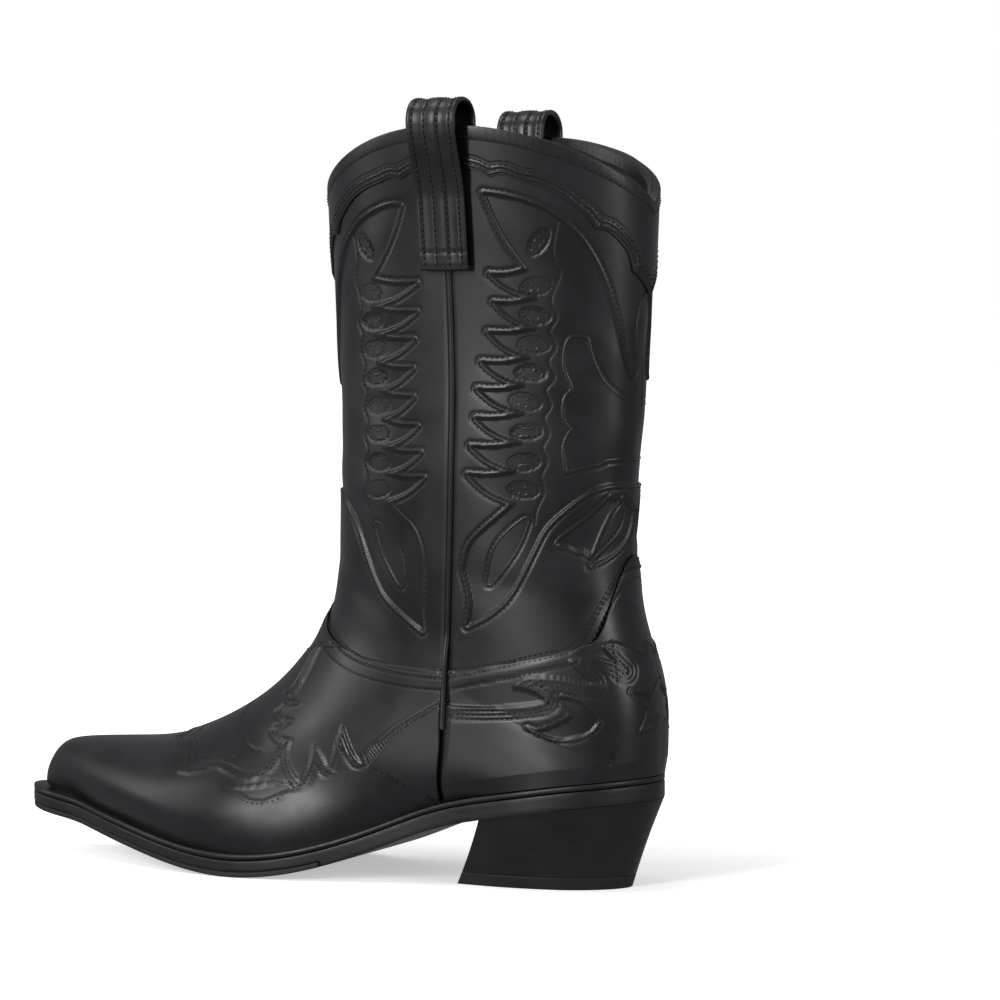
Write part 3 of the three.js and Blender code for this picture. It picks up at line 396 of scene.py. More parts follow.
def from_seam(side, a, z):
    """Millimetres along the leather from the side seam to share a at height z."""
    k = np.clip((z - LEVELS[0]) / LEVEL_STEP, 0, len(LEVELS) - 1.001)
    m = np.clip(a * SHARE_CELLS, 0, SHARE_CELLS - .001)
    return abs(read_grid(LEVEL[side][1], k, m))


def girth_table(side):
    """Millimetres round the foot from the feather line, against station and share."""
    run = travelled(BODY[side])
    return run[:, -1:] - run


GIRTH = {side: girth_table(side) for side in SIDES}


def girth_at(side, a, v):
    k = np.clip(v * PER_STATION, 0, TIP * PER_STATION - .001)
    m = np.clip(a * SHARE_CELLS, 0, SHARE_CELLS - .001)
    return read_grid(GIRTH[side], k, m)


# ---- the pattern: cut edges and rows of stitching, in millimetres on the flat leather -------
def at_distances(line, want):
    """The points of a line at these distances from its start."""
    travel = travelled(line)
    return np.stack([np.interp(want, travel, column) for column in line.T], 1)


def smooth_line(points, closed=False, step=0.8):
    """A run of points along a rounded pattern line, or along a straight one between two points."""
    p = np.array(points, float)
    if closed:
        p = np.vstack([p, p[:1]])
    if len(p) > 2:
        # a closed line laps two points over each end, so that it closes smoothly
        knots, lap = (np.vstack([p[-3:-1], p, p[1:3]]), 2) if closed else (p, 0)
        t = lap + np.linspace(0, len(p) - 1, 24 * (len(p) - 1) + 1)
        p = np.stack([natural(knots[:, k])(t) for k in (0, 1)], 1)
    travel = travelled(p)
    return at_distances(p, np.linspace(0, travel[-1], max(int(travel[-1] / step), 2) + 1))


def joined(*runs):
    """Pattern runs set end to end, each already rounded; the corners between them stay sharp."""
    return np.vstack([smooth_line(r) for r in runs])


def inset(line, amount, closed=False):
    """The line moved sideways, to its left as it runs."""
    if closed:
        nxt, last = np.roll(line, -1, 0), np.roll(line, 1, 0)
    else:
        nxt, last = np.vstack([line[1:], line[-1:]]), np.vstack([line[:1], line[:-1]])
    d = unit(nxt - last)
    moved = line + amount * np.stack([-d[:, 1], d[:, 0]], 1)
    # points that end up nearer the line than the inset belong to a corner and are dropped
    keep = distance_to(moved, line, closed, abs(amount) + 1) > abs(amount) * 0.93
    return moved[keep]


def distance_to(points, line, closed=False, reach=6.0):
    """Distance from each point to the line, up to reach."""
    best = np.full(len(points), reach)
    ends = np.vstack([line, line[:1]]) if closed else line
    near = np.flatnonzero(np.all((points > ends.min(0) - reach) & (points < ends.max(0) + reach), 1))
    if not len(near):
        return best
    order = near[np.argsort(points[near, 1])]
    rows = points[order, 1]
    for a, b in zip(ends[:-1], ends[1:]):
        lo, hi = np.searchsorted(rows, [min(a[1], b[1]) - reach, max(a[1], b[1]) + reach])
        pick = order[lo:hi]
        q = points[pick]
        pick = pick[abs(q[:, 0] - (a[0] + b[0]) / 2) < reach + abs(a[0] - b[0])]
        q = points[pick]
        ab = b - a
        f = np.clip((q - a) @ ab / max(ab @ ab, 1e-9), 0, 1)
        best[pick] = np.minimum(best[pick], np.linalg.norm(q - a - f[:, None] * ab, axis=1))
    return best


def within(points, outline):
    """Which points lie inside a closed outline."""
    inside = np.zeros(len(points), bool)
    a, b = outline, np.roll(outline, -1, 0)
    box = np.flatnonzero(np.all((points > outline.min(0)) & (points < outline.max(0)), 1))
    q = points[box]
    hit = np.zeros(len(q), bool)
    for (ax, ay), (bx, by) in zip(a, b):
        if ay == by:
            continue
        crossing = (bx - ax) * (q[:, 1] - ay) / (by - ay) + ax
        hit ^= ((ay > q[:, 1]) != (by > q[:, 1])) & (q[:, 0] < crossing)
    inside[box] = hit
    return inside


def eyelet(centre, tilt=-12.0, length=12.5, height=5.4):
    """A lens-shaped ring of stitching, turned by tilt degrees."""
    t = np.linspace(0, 2 * np.pi, 40, endpoint=False)
    x, y = length / 2 * np.cos(t), height / 2 * np.sin(t) * np.abs(np.sin(t)) ** 0.15
    c, s = math.cos(math.radians(tilt)), math.sin(math.radians(tilt))
    return np.stack([centre[0] + x * c - y * s, centre[1] + x * s + y * c], 1)


FAR = 150.0     # past the middle of any panel


def feathered_edge(tips, valleys):
    """The wing's toothed edge from the top: each feather runs out to a tip and back under it."""
    runs = []
    for k, (tip, valley) in enumerate(zip(tips, valleys)):
        mid = (lerp(tip[0], valley[0], .42), lerp(tip[1], valley[1], .5) - 1.3)
        runs.append([tip, mid, valley])
        if k + 1 < len(tips):
            nxt = tips[k + 1]
            runs.append([valley, (lerp(valley[0], nxt[0], .5), lerp(valley[1], nxt[1], .5) - 1.1), nxt])
    return runs


BACK_TIPS = [(18, 302), (19, 267.5), (20.4, 255.3), (17.2, 242.6), (13.7, 229.8), (11.7, 218.2),
             (10.7, 205.8), (8.9, 193.5), (7.8, 181.3)]
BACK_VALLEYS = [(35.5, 269.5), (39.2, 257.4), (38, 244.4), (34.6, 231.6), (32.6, 219.8), (32.2, 207.6),
                (31.3, 195), (29.4, 182.6), (29, 168.6)]
FRONT_TIPS = [(22.5, 297.5), (15.5, 264), (16.3, 251.6), (18.4, 239.8), (19.6, 227.2), (19.4, 214.8),
              (17.2, 202), (15.2, 190.6), (13.2, 179.6)]
FRONT_VALLEYS = [(42.5, 266), (43.4, 254), (42.2, 241.8), (41, 229.4), (40, 217.2), (38.4, 204.8),
                 (36.6, 192.6), (35, 180.8), (34, 168.6)]


def wing(tips, valleys, lobe_in, point, lobe_out, upper):
    """A wing as (from the side seam, height): feathers, the lobe under them and the upper edge."""
    runs = feathered_edge(tips, valleys)
    runs += [[valleys[-1]] + lobe_in + [point], [point] + lobe_out]
    runs += [[lobe_out[-1], (FAR, lobe_out[-1][1] + 3)], [(FAR, upper[-1][1]), upper[-1]],
             upper[::-1] + [tips[0]]]
    return joined(*runs)


FINGER = [(27, 300.6), (36, 298.3), (45, 294.6), (52.5, 289.4), (59.5, 282.4), (64.8, 273.9),
          (69, 264.7), (72.4, 254.2), (75.5, 241.8), (78.5, 229), (82, 222.4), (85.6, 223.5),
          (86.8, 229), (86, 238), (86.5, 248), (90, 256), (96, 260)]
back_wing = wing(BACK_TIPS, BACK_VALLEYS,
                 [(21.9, 162.5), (14.9, 156.5), (9.1, 149.8), (7.4, 142.9), (7.5, 137.5), (10.6, 126)],
                 (9.5, 115),
                 [(19.4, 119.9), (27.3, 126.9), (32.4, 135.1), (36.4, 143.5), (40.3, 152.1),
                  (45, 159.9), (54.2, 168.2), (63.6, 174.4), (72, 176.6)], FINGER)
front_wing = wing(FRONT_TIPS, FRONT_VALLEYS,
                  [(24.3, 161.3), (18.3, 155.9), (14.6, 147.2), (13.7, 136.6), (13.8, 122.2)],
                  (12.6, 111.6),
                  [(27.2, 120.8), (36.8, 129), (45.5, 143.2), (53.4, 157), (64, 167), (76, 173)],
                  [(p[0] + 2, p[1] - 3) for p in FINGER])
tail_fan = joined([(60.6, 239.2), (55.6, 240), (52.4, 237.3), (51.1, 228.9), (53.4, 221.4),
                   (54, 216.9), (51.2, 213.4), (51.6, 204.2), (54.2, 200.4), (51.5, 194.7),
                   (52.2, 183)], [(52.2, 183), (60, 185), (68.2, 187), (80, 188.6), (FAR, 190)],
                  [(FAR, 190), (FAR, 211)], [(FAR, 211), (89, 210.6), (76.8, 213.1), (68.7, 219.6),
                                             (62.3, 231.3), (60.6, 239.2)])
leaf_back = smooth_line([(34.6, 162), (27, 156.4), (20.6, 148), (18.6, 138.5), (19, 133.5),
                         (24.6, 139.5), (30.9, 149.1), (34.6, 158)], closed=True)
leaf_front = smooth_line([(41, 158.5), (33.5, 154), (27, 146), (24.6, 136), (26, 131.5), (32, 138),
                          (38, 147), (41.3, 154.5)], closed=True)
claw = joined([(72, 171.5), (65, 165), (57, 158.6), (49.8, 153), (49.6, 150.6), (53.7, 150.2)],
              [(53.7, 150.2), (57.6, 148.2), (60.6, 148.6)], [(60.6, 148.6), (63.6, 146.4), (65.3, 149.3)],
              [(65.3, 149.3), (67.6, 155.5), (69.9, 160.5), (74, 167.3), (76, 169.6), (72, 171.5)])
hook = joined([(79, 170.9), (80.9, 166.5), (80.5, 160.1), (76, 153.6), (68.3, 146.6), (63.6, 141.7)],
              [(63.6, 141.7), (70, 144), (78, 148.6), (84.5, 156), (87, 165)], [(87, 165), (79, 170.9)])
head_hook = smooth_line([(84, 280), (90, 286), (97, 288), (99, 281), (96, 272), (91, 270), (92, 277),
                         (88, 276)], closed=True)
EYELETS = {"back": [((41.5, 281), 50), ((39.4, 262), 8), ((38.6, 249.5), -6), ((37.2, 237), -4),
                    ((35.8, 225), -6), ((33.2, 212.4), -8), ((34, 199.5), 4), ((33.4, 186.6), 2),
                    ((33.2, 174.4), -6)],
           "front": [((46, 280), 48), ((43.5, 259.8), 6), ((43, 247.6), -4), ((42.2, 235.2), -4),
                     ((41.4, 222.8), -6), ((40.6, 210.6), -6), ((40.2, 198), 0), ((40, 185.6), 2),
                     ((39.8, 173.6), -4)]}
WAVE = {"back": [(50.5, 292), (47.4, 275), (50.2, 268), (45.6, 256.5), (48, 249), (44.6, 243), (47, 236),
                 (43.6, 230), (46.2, 223), (42.4, 217.6), (44.6, 211), (41.6, 205.4), (44, 199),
                 (41.4, 193), (43.4, 186.6), (41, 180.6), (42.4, 174), (39.6, 167), (38.6, 160)],
        "front": [(56, 290), (52, 274), (54, 266), (50.6, 254.6), (53, 247), (50, 241), (52, 234),
                  (49, 228), (51, 221), (48, 215.4), (50, 209), (47.4, 203), (49.4, 197), (47, 191),
                  (49, 184.6), (46.6, 178.6), (48, 172), (46, 165)]}
FAN_ROWS = [[(56.5, 233), (59.5, 222), (66, 213), (76, 207.6), (88, 205.8), (FAR, 205.6)],
            [(55.5, 206.4), (62.8, 200), (73.9, 197.4), (88, 196.6), (FAR, 196.4)],
            [(56, 190), (68, 191.6), (80, 193), (FAR, 194)]]
COLLAR_CUSPS = [[(0, 313.4), (9, 313), (16, 311.4), (21.5, 308.6)],
                [(21.5, 308.6), (27, 309.4), (33, 307.4)],
                [(33, 307.4), (42, 305), (52, 300.4), (60.4, 293.8)],
                [(60.4, 293.8), (63, 291.6), (66.4, 286)], [(66.4, 286), (71.6, 285.6), (78, 279.8)],
                [(78, 279.8), (80.8, 276), (82.6, 268.4)],
                [(82.6, 268.4), (88, 264.5), (94, 256), (99, 249), (FAR, 240)]]
collar_edge = joined(*COLLAR_CUSPS)
ROW_PITCH = 2.4       # one waxed stitch and the gap after it
EDGE_ROW = 2.0        # stitching runs this far in from a cut edge
SMALL_ROW, LEAF_ROW = 1.7, 1.5
PAIR = 2.5            # and a second row this much further in

# the counter's overlay: its flame-shaped upper edge, from the side seam back
FLAMES = joined([(-2, 80), (17, 79.8), (38, 81.4), (48.2, 83.7)],
                [(48.2, 83.7), (41.8, 87.7), (32.4, 89.3)],
                [(32.4, 89.3), (38.4, 93.4), (51, 93.7), (62.1, 91.8), (68.3, 91)],
                [(68.3, 91), (63, 95.4), (57, 101)],
                [(57, 101), (64.7, 102.6), (74.3, 100.8), (82, 96)],
                [(82, 96), (76, 101.4), (70.5, 107.4)], [(70.5, 107.4), (73, 108.4), (76, 108.6)])
heel_leaf = joined([(39.9, 72), (44.8, 70.9), (52, 73.4), (59.6, 77.3)],
                   [(59.6, 77.3), (55.5, 81.7), (52.1, 85.2)],
                   [(52.1, 85.2), (59.3, 84.8), (65.5, 81.3), (70.6, 75.1)],
                   [(70.6, 75.1), (66, 69.9), (56.7, 67.4), (48.7, 68.3), (39.9, 72)])


# ---- flat layout of the vamp: x along the foot, g round the foot from the feather line ------
VAMP_EDGE = [[(-20, 103), (-30, 98), (-40, 89), (-47.3, 79), (-59.6, 64.4), (-67.6, 52.5), (-75.2, 40.3)],
             [(-75.2, 40.3), (-79.7, 50.6), (-85.1, 70.9)], [(-85.1, 70.9), (-87.3, 57), (-90.4, 40)],
             [(-90.4, 40), (-94.2, 48.9), (-99.4, 60)], [(-99.4, 60), (-100.4, 46), (-103.6, 36)],
             [(-103.6, 36), (-108.5, 43.6), (-112.4, 54.8), (-112.2, 66)]]
TOE_CAP_BACK = [[(-112.2, 66), (-117, 68), (-120.5, 73)], [(-120.5, 73), (-117, 77.5), (-112.6, 80)],
                [(-112.6, 80), (-118, 83), (-121.5, 88)], [(-121.5, 88), (-117, 92), (-111, 94)],
                [(-111, 94), (-117, 98), (-120, 104)], [(-120, 104), (-114, 110), (-106, FAR)]]
TOE_CAP_FRONT = [[(-112.2, 66), (-114.8, 57.7), (-118.5, 47.6), (-123.6, 43.5), (-131.4, 42.7),
                  (-139, 46.2)],
                 [(-139, 46.2), (-148.9, 50.6), (-157.4, 46.4), (-168, 45)],
                 [(-168, 45), (-166, 54), (-170.6, 64)], [(-170.6, 64), (-178, 66), (-186, 74)],
                 [(-186, 74), (-180, 86), (-188, FAR)]]
zigzag = joined(*VAMP_EDGE)
cap_back, cap_front = joined(*TOE_CAP_BACK), joined(*TOE_CAP_FRONT)
toe_cap = np.vstack([cap_front, cap_back[::-1]])
instep = np.vstack([zigzag, cap_back, [(-20, FAR)]])
vamp_leaf = joined([(-138, 38.6), (-131.4, 34), (-126.5, 30.8), (-120, 29.8), (-113.1, 31.6),
                    (-106.4, 36)],
                   [(-106.4, 36), (-111.5, 36.4), (-117, 39)], [(-117, 39), (-127, 38), (-138, 38.6)])
TOE_ARCS = [[(-139, 56), (-149, 60), (-160, 57), (-164, 66), (-172, 76), (-170, 88), (-178, FAR)],
            [(-126, 60), (-134, 64), (-142, 74), (-146, 88), (-148, FAR)]]



def mirrored(*runs):
    """An outline across the back middle, from its half given as runs of (from the middle, z)."""
    half = joined(*runs)
    return np.vstack([half, half[::-1] * (-1, 1)])


# the overlay's edge round the back of the heel, as (from the back middle, z)
CROWN = joined([(5, 103.5), (2.4, 106.6), (0, 111)])
heel_star = mirrored([(0, 92), (3, 88.4), (7.6, 83.8)], [(7.6, 83.8), (12, 86), (18.4, 87.6)],
                     [(18.4, 87.6), (13.4, 83.4), (10.4, 79.4)],
                     [(10.4, 79.4), (12.4, 74.4), (15, 70.4)],
                     [(15, 70.4), (7.4, 73.6), (0, 78)])


def groove(d, at, deep=0.4, wide=0.5):
    """The leather drawn down along a row of stitching."""
    return -deep * np.exp(-((d - at) / wide) ** 2)


def cut_edge(points, outline, depth, rows=(EDGE_ROW,), lip=0.14):
    """Height across a cut edge. Inside lies lower by depth, or higher where depth is negative;
    the upper leather has a burnished lip and sinks a little under each row of stitching."""
    d = distance_to(points, outline, closed=True, reach=8.0)
    inside = within(points, outline)
    signed = np.where(inside, -d, d)
    on_top = signed if depth > 0 else -signed
    height = -abs(depth) * (1 - ramp(on_top, -0.45, 0.2)) + (abs(depth) if depth < 0 else 0)
    height += np.where(on_top > -0.2, lip * np.exp(-((on_top - 0.8) / 0.55) ** 2), 0)
    for row in rows:
        height += np.where(on_top > 0, groove(on_top, row), 0)
    return height


def sewn(points, lines, deep=0.3):
    height = np.zeros(len(points))
    for line in lines:
        height = np.minimum(height, groove(distance_to(points, line, reach=2.5), 0, deep))
    return height


WING = {"back": back_wing, "front": front_wing}
LEAF = {"back": leaf_back, "front": leaf_front}
SMALL = {"back": [claw, hook, head_hook], "front": []}
FAN = {"back": [tail_fan], "front": []}
QUILTING = {"back": [smooth_line(WAVE["back"])] + [smooth_line(r) for r in FAN_ROWS],
            "front": [smooth_line(WAVE["front"])]}
# soft hand folds: piece, mm from the seam, height, half length, half width, slope, depth
FOLDS = [("front", 30, 206, 34, 7, .35, -1.1), ("front", 34, 150, 30, 9, .5, -1.4),
         ("back", 20, 176, 26, 9, -.45, -1.3), ("back", 62, 150, 30, 10, -.35, -1.5),
         ("front", 62, 178, 26, 8, .3, .9), ("back", 34, 235, 30, 14, .2, -.9),
         ("front", 14, 262, 24, 16, -.3, .8), ("back", 50, 128, 30, 6, -.25, -1.1),
         ("front", 58, 132, 26, 6, .5, -1.2), ("back", 80, 200, 22, 16, .1, .9)]


def folds(side, where, s, z):
    """Dents and swells that wear leaves in the shaft; the inner side's lie a little elsewhere."""
    height = np.zeros(len(s))
    for piece, at, level, long, wide, slope, deep in FOLDS:
        if piece != where:
            continue
        at, level = at + 5 * (side > 0), level + 9 * (side > 0)
        across = (z - level) - slope * (s - at)
        height += deep * np.exp(-((s - at) / long) ** 2 - (across / wide) ** 2)
    calm = ramp(s, 2, 16) * (1 - ramp(z, 280, 312)) * ramp(z, 92, 118)
    # dents stay shallower than the room over the lining
    return np.where(height < 0, .4, 1) * height * calm


def shaft_relief(where, s, z):
    p = np.stack([s, z], 1)
    height = cut_edge(p, WING[where], 1.15)
    inlay = within(p, WING[where])
    for fan in FAN[where]:
        height += cut_edge(p, fan, 0.7, lip=0.1)
    for small in SMALL[where]:
        height += cut_edge(p, small, 0.9, rows=(SMALL_ROW,), lip=0.1)
    height += cut_edge(p, LEAF[where], 0.6, rows=(LEAF_ROW,), lip=0.12)
    height += sewn(p, QUILTING[where])
    for centre, tilt in EYELETS[where]:
        ring = eyelet(centre, tilt)
        d = distance_to(p, ring, closed=True, reach=4)
        inside = within(p, ring)
        height += groove(d, 0, 0.34) + np.where(inside, 0.5 * ramp(d, 0.2, 1.9), 0)
        slit = eyelet(centre, tilt, 7.0, 0.5)
        height -= 0.9 * np.exp(-(distance_to(p, slit, closed=True, reach=3) / 0.55) ** 2)
    # the inlay is a softer, slightly padded skin
    height += np.where(inlay, 0.12 * np.sin(z * 0.21 + s * 0.13), 0)
    height += groove(s, 1.6, 0.25, 0.8)
    return height


TOP_ROWS = (1.9, 4.3, 9.5)    # rows below the top edges of vamp and counter


def seam_rows(below_edge):
    return sum(groove(below_edge, row) for row in TOP_ROWS[:2]) + groove(below_edge, TOP_ROWS[2], 0.25) \
        + 0.15 * np.exp(-((below_edge - 0.8) / 0.6) ** 2)


def skived(below_edge):
    """Top edges are pared thin so that they lie close on the shaft."""
    return 1.0 * (1 - ramp(below_edge, 0, 6))


def under_overlay(side):
    """The counter leather left uncovered above the overlay's flames, on one side."""
    return np.vstack([FLAMES, from_middle(side, CROWN), [(150, 111), (150, 140), (-2, 140)]])


def from_middle(side, outline):
    """An outline measured from the back middle, as measured from the side seam."""
    full = half_width(side, "back", outline[:, 1])
    return np.stack([full - outline[:, 0], outline[:, 1]], 1)


FLAME_ROWS = (1.5, 3.4, 5.3)
UNCOVERED = {side: under_overlay(side) for side in (-1, 1)}


def counter_relief(side, s, z):
    full = half_width(side, "back", z)
    p, middle = np.stack([s, z], 1), np.stack([full - s, z], 1)
    below = counter_line(1 - s / full) - z
    height = seam_rows(below) - skived(below)
    height += cut_edge(p, UNCOVERED[side], 0.8, rows=FLAME_ROWS)
    height += cut_edge(p, heel_leaf, 0.8, rows=(LEAF_ROW,))
    height += cut_edge(middle, heel_star, 0.9, rows=(LEAF_ROW,))
    # a crease where the heel is closed at the back
    return height + groove(full - s, 0, .5, .8) * (1 - ramp(z, 64, 74))


VAMP_ROWS = (1.5, 3.7)


def vamp_relief(x, g):
    p = np.stack([x, g], 1)
    height = cut_edge(p, instep, 0.7, rows=VAMP_ROWS)
    height += cut_edge(p, toe_cap, -0.55, rows=VAMP_ROWS)
    height += cut_edge(p, vamp_leaf, 0.5, rows=(LEAF_ROW,))
    return height + sewn(p, [smooth_line(a) for a in TOE_ARCS])


# ---- mesh making ----------------------------------------------------------------------------
def mesh_object(name, points, faces):
    """A named piece from points in millimetres."""
    mesh = bpy.data.meshes.new(name)
    mesh.from_pydata((np.asarray(points) * MM).tolist(), [], faces)
    mesh.validate()
    mesh.update()
    mesh.polygons.foreach_set("use_smooth", [True] * len(mesh.polygons))
    piece = bpy.data.objects.new(name, mesh)
    bpy.context.scene.collection.objects.link(piece)
    return piece


def facing_out(points, faces):
    """Turns every face of a closed body over if its volume comes out negative."""
    p = np.asarray(points)
    volume = 0.0
    for face in faces:
        a, b, c = p[face[0]], p[face[1]], p[face[2]]
        volume += a @ np.cross(b, c)
        if len(face) == 4:
            volume += a @ np.cross(c, p[face[3]])
    return [f[::-1] for f in faces] if volume < 0 else faces


COARSE = 4        # the hidden flesh side has one cell for this many of the grain side


def leather_shell(name, outer, inner):
    """A closed piece of leather between a fine outer grid and the inner grid's coarse copy."""
    rows, cols = outer.shape[0] - 1, outer.shape[1] - 1
    k = COARSE
    lining = inner[::k, ::k]
    r, c = lining.shape[0], lining.shape[1]
    i, j = np.meshgrid(np.arange(rows), np.arange(cols), indexing="ij")
    n = cols + 1
    q = (i * n + j).ravel()
    faces = np.stack([q, q + 1, q + n + 1, q + n], 1).tolist()
    base = (rows + 1) * n
    i, j = np.meshgrid(np.arange(r - 1), np.arange(c - 1), indexing="ij")
    q = (base + i * c + j).ravel()
    faces += np.stack([q, q + c, q + c + 1, q + 1], 1).tolist()

    def hem(edge, coarse):
        for m in range(len(coarse) - 1):
            a, b = coarse[m], coarse[m + 1]
            run = edge[m * k:(m + 1) * k + 1]
            for h in range(k):
                faces.append([run[h + 1], run[h], a if h < k // 2 else b])
            faces.append([a, b, run[k // 2]])
    fine = np.arange((rows + 1) * n).reshape(rows + 1, n).tolist()
    own = (base + np.arange(r * c)).reshape(r, c).tolist()
    hem(fine[0], own[0])
    hem(fine[-1][::-1], own[-1][::-1])
    hem([row[0] for row in fine][::-1], [row[0] for row in own][::-1])
    hem([row[-1] for row in fine], [row[-1] for row in own])
    points = np.vstack([outer.reshape(-1, 3), lining.reshape(-1, 3)])
    return mesh_object(name, points, facing_out(points, faces))


ROUGH = 1.0      # coarser grids while trying things


def fours(n):
    """A number of cells that the coarse flesh side divides evenly."""
    return int(math.ceil(n / ROUGH / COARSE) * COARSE)


def both_sides(count):
    """Columns t from -1, the outer side seam, to 1, the inner one."""
    return np.linspace(-1, 1, fours(count) + 1)


def place_on_panel(where, t, z):
    """Side, share and station of grid points from t across and heights z, over both sides."""
    side = np.where(t < 0, -1, 1)
    out_a, out_v, out_s = np.zeros(t.shape), np.zeros(t.shape), np.zeros(t.shape)
    for one in SIDES:
        m = side == one
        full = half_width(one, where, z[m])
        s = SEAM_HALF + (full - SEAM_HALF) * (1 - abs(t[m]))
        out_a[m], out_v[m] = on_level(one, where, s, z[m])
        out_s[m] = s
    return side, out_a, out_v, out_s


SHAFT_CELL = 0.74              # a cell of the shaft's grain side, fine enough for a cut edge


def shaft_panel(where):
    line = vamp_line if where == "front" else counter_line
    t = both_sides(212 / SHAFT_CELL)
    rows = fours(226 / SHAFT_CELL)
    f = np.linspace(0, 1, rows + 1)[:, None]
    z = lerp(top_line(t)[None, :] - 0.4, line(t)[None, :] - 9, f)
    side, a, v, s = place_on_panel(where, np.broadcast_to(t, z.shape), z)
    lift, sag = np.zeros(z.shape), np.zeros(z.shape)
    for one in SIDES:
        m = side == one
        lift[m] = shaft_relief(where, s[m], z[m])
        sag[m] = folds(one, where, s[m], z[m])
    p, n = surface(side, a, v), last_normal(side, a, v)
    outer = p + n * (SHAFT_OUT + lift + sag)[..., None]
    inner = p + n * (SHAFT_IN + sag)[..., None]
    return leather_shell(f"{where}_shaft_leather", outer, inner)


def strip_grid(where, t, stations, seam_gap):
    """Side and share of a grid of columns t and stations."""
    side = np.broadcast_to(np.where(t < 0, -1, 1), stations.shape)
    a = np.zeros(stations.shape)
    for one in SIDES:
        m = side == one
        a[m] = share_on_strip(where, one, np.broadcast_to(t, stations.shape)[m], stations[m], seam_gap)
    return side, a


def top_stations(where, t, z, seam_gap):
    """Station of each column's top edge."""
    out = np.zeros(len(t))
    for one in SIDES:
        m = (t < 0) if one < 0 else (t >= 0)
        out[m] = station_at(where, one, t[m], np.broadcast_to(z, t.shape)[m], seam_gap)
    return out


def end_share(side, v, clear):
    """The share that ends a piece just clear of the welt."""
    e = 0.02
    last_bit = surface(side, np.ones_like(v), v) - surface(side, np.full_like(v, 1 - e), v)
    step = np.linalg.norm(last_bit, axis=-1)
    return 1 - clear * e / np.maximum(step, 1e-6) * ramp(v, CORNER - 0.02, CORNER + 0.5)


def vamp_grid(rows, cols, seam_gap, top_of, tip, clear):
    """Grid of the front pieces: from the top edge along the foot to the toe."""
    t = both_sides(cols)
    top = top_stations("front", t, top_of(t), seam_gap)
    f = np.linspace(0, 1, fours(rows) + 1)[:, None]
    v = lerp(top[None, :], tip, f)
    side, a = strip_grid("front", t, v, seam_gap)
    a = np.where(v > CORNER - 0.02, np.minimum(a, end_share(side, v, clear)), a)
    return side, a, v


def vamp_leather():
    """The vamp, and its grid for the stitching: points, sides, shares and stations."""
    side, a, v = vamp_grid(300, 276, SEAM_HALF, vamp_line, TIP - 0.25, WELT_CLEAR)
    p, n = surface(side, a, v), last_normal(side, a, v)
    lift = np.zeros(v.shape)
    for one in SIDES:
        m = side == one
        g = girth_at(one, a[m], v[m])
        lift[m] = vamp_relief(p[..., 0][m], g)
        z = p[..., 2][m]
        s = from_seam(one, a[m], z)
        below = vamp_line(1 - s / half_width(one, "front", z)) - z
        lift[m] += np.where(v[m] < 8.5, seam_rows(below) - skived(below), 0) * ramp(v[m], 8.5, 7.5)
    outer = p + n * (COVER_OUT + lift)[..., None]
    inner = p + n * COVER_IN
    grid = (p.reshape(-1, 3), side.ravel(), a.ravel(), v.ravel())
    return leather_shell("vamp_leather", outer, inner), grid


def above_feather(side, shares):
    """Where each column leaves the last, DROP above the feather line, and its foot below."""
    foot = np.stack(feather[side](shares), -1)
    v = np.linspace(0, CORNER + 4, 1500)
    a = np.linspace(.5, 1, 260)
    grid = surface(side, a[None, :], v[:, None])
    high = grid[..., 2] - feather_height(grid[..., 0]) - DROP
    closes = high[:, -1] < 0
    start = np.argmax(closes)
    level = np.array([np.interp(0, -row, a) for row in high[start:]])
    v = v[start:]
    edge = surface(side, level, v)
    found = []
    for x, y, ox, oy in foot:
        f = (x - edge[:, 0]) * abs(oy) + (abs(edge[:, 1]) - abs(y)) * ox
        k = np.argmax(np.sign(f) != np.sign(f[0])) if np.any(np.sign(f) != np.sign(f[0])) else 0
        if k == 0:
            found.append((level[0], v[0]))
        else:
            w = f[k - 1] / (f[k - 1] - f[k])
            found.append((lerp(level[k - 1], level[k], w), lerp(v[k - 1], v[k], w)))
    found = np.array(found)
    return foot, found[:, 0], found[:, 1]


BREAST_TOP, BREAST_FOOT, HEEL_BACK_FOOT, HEEL_FOOT_WIDTH = -20.0, -35.5, 37.5, 50.0


def share_at_x(side, x):
    """Share of the feather line that lies at x."""
    shares = np.linspace(0, 1, 2001)
    return np.interp(-x, -feather[side](shares)[0], shares)


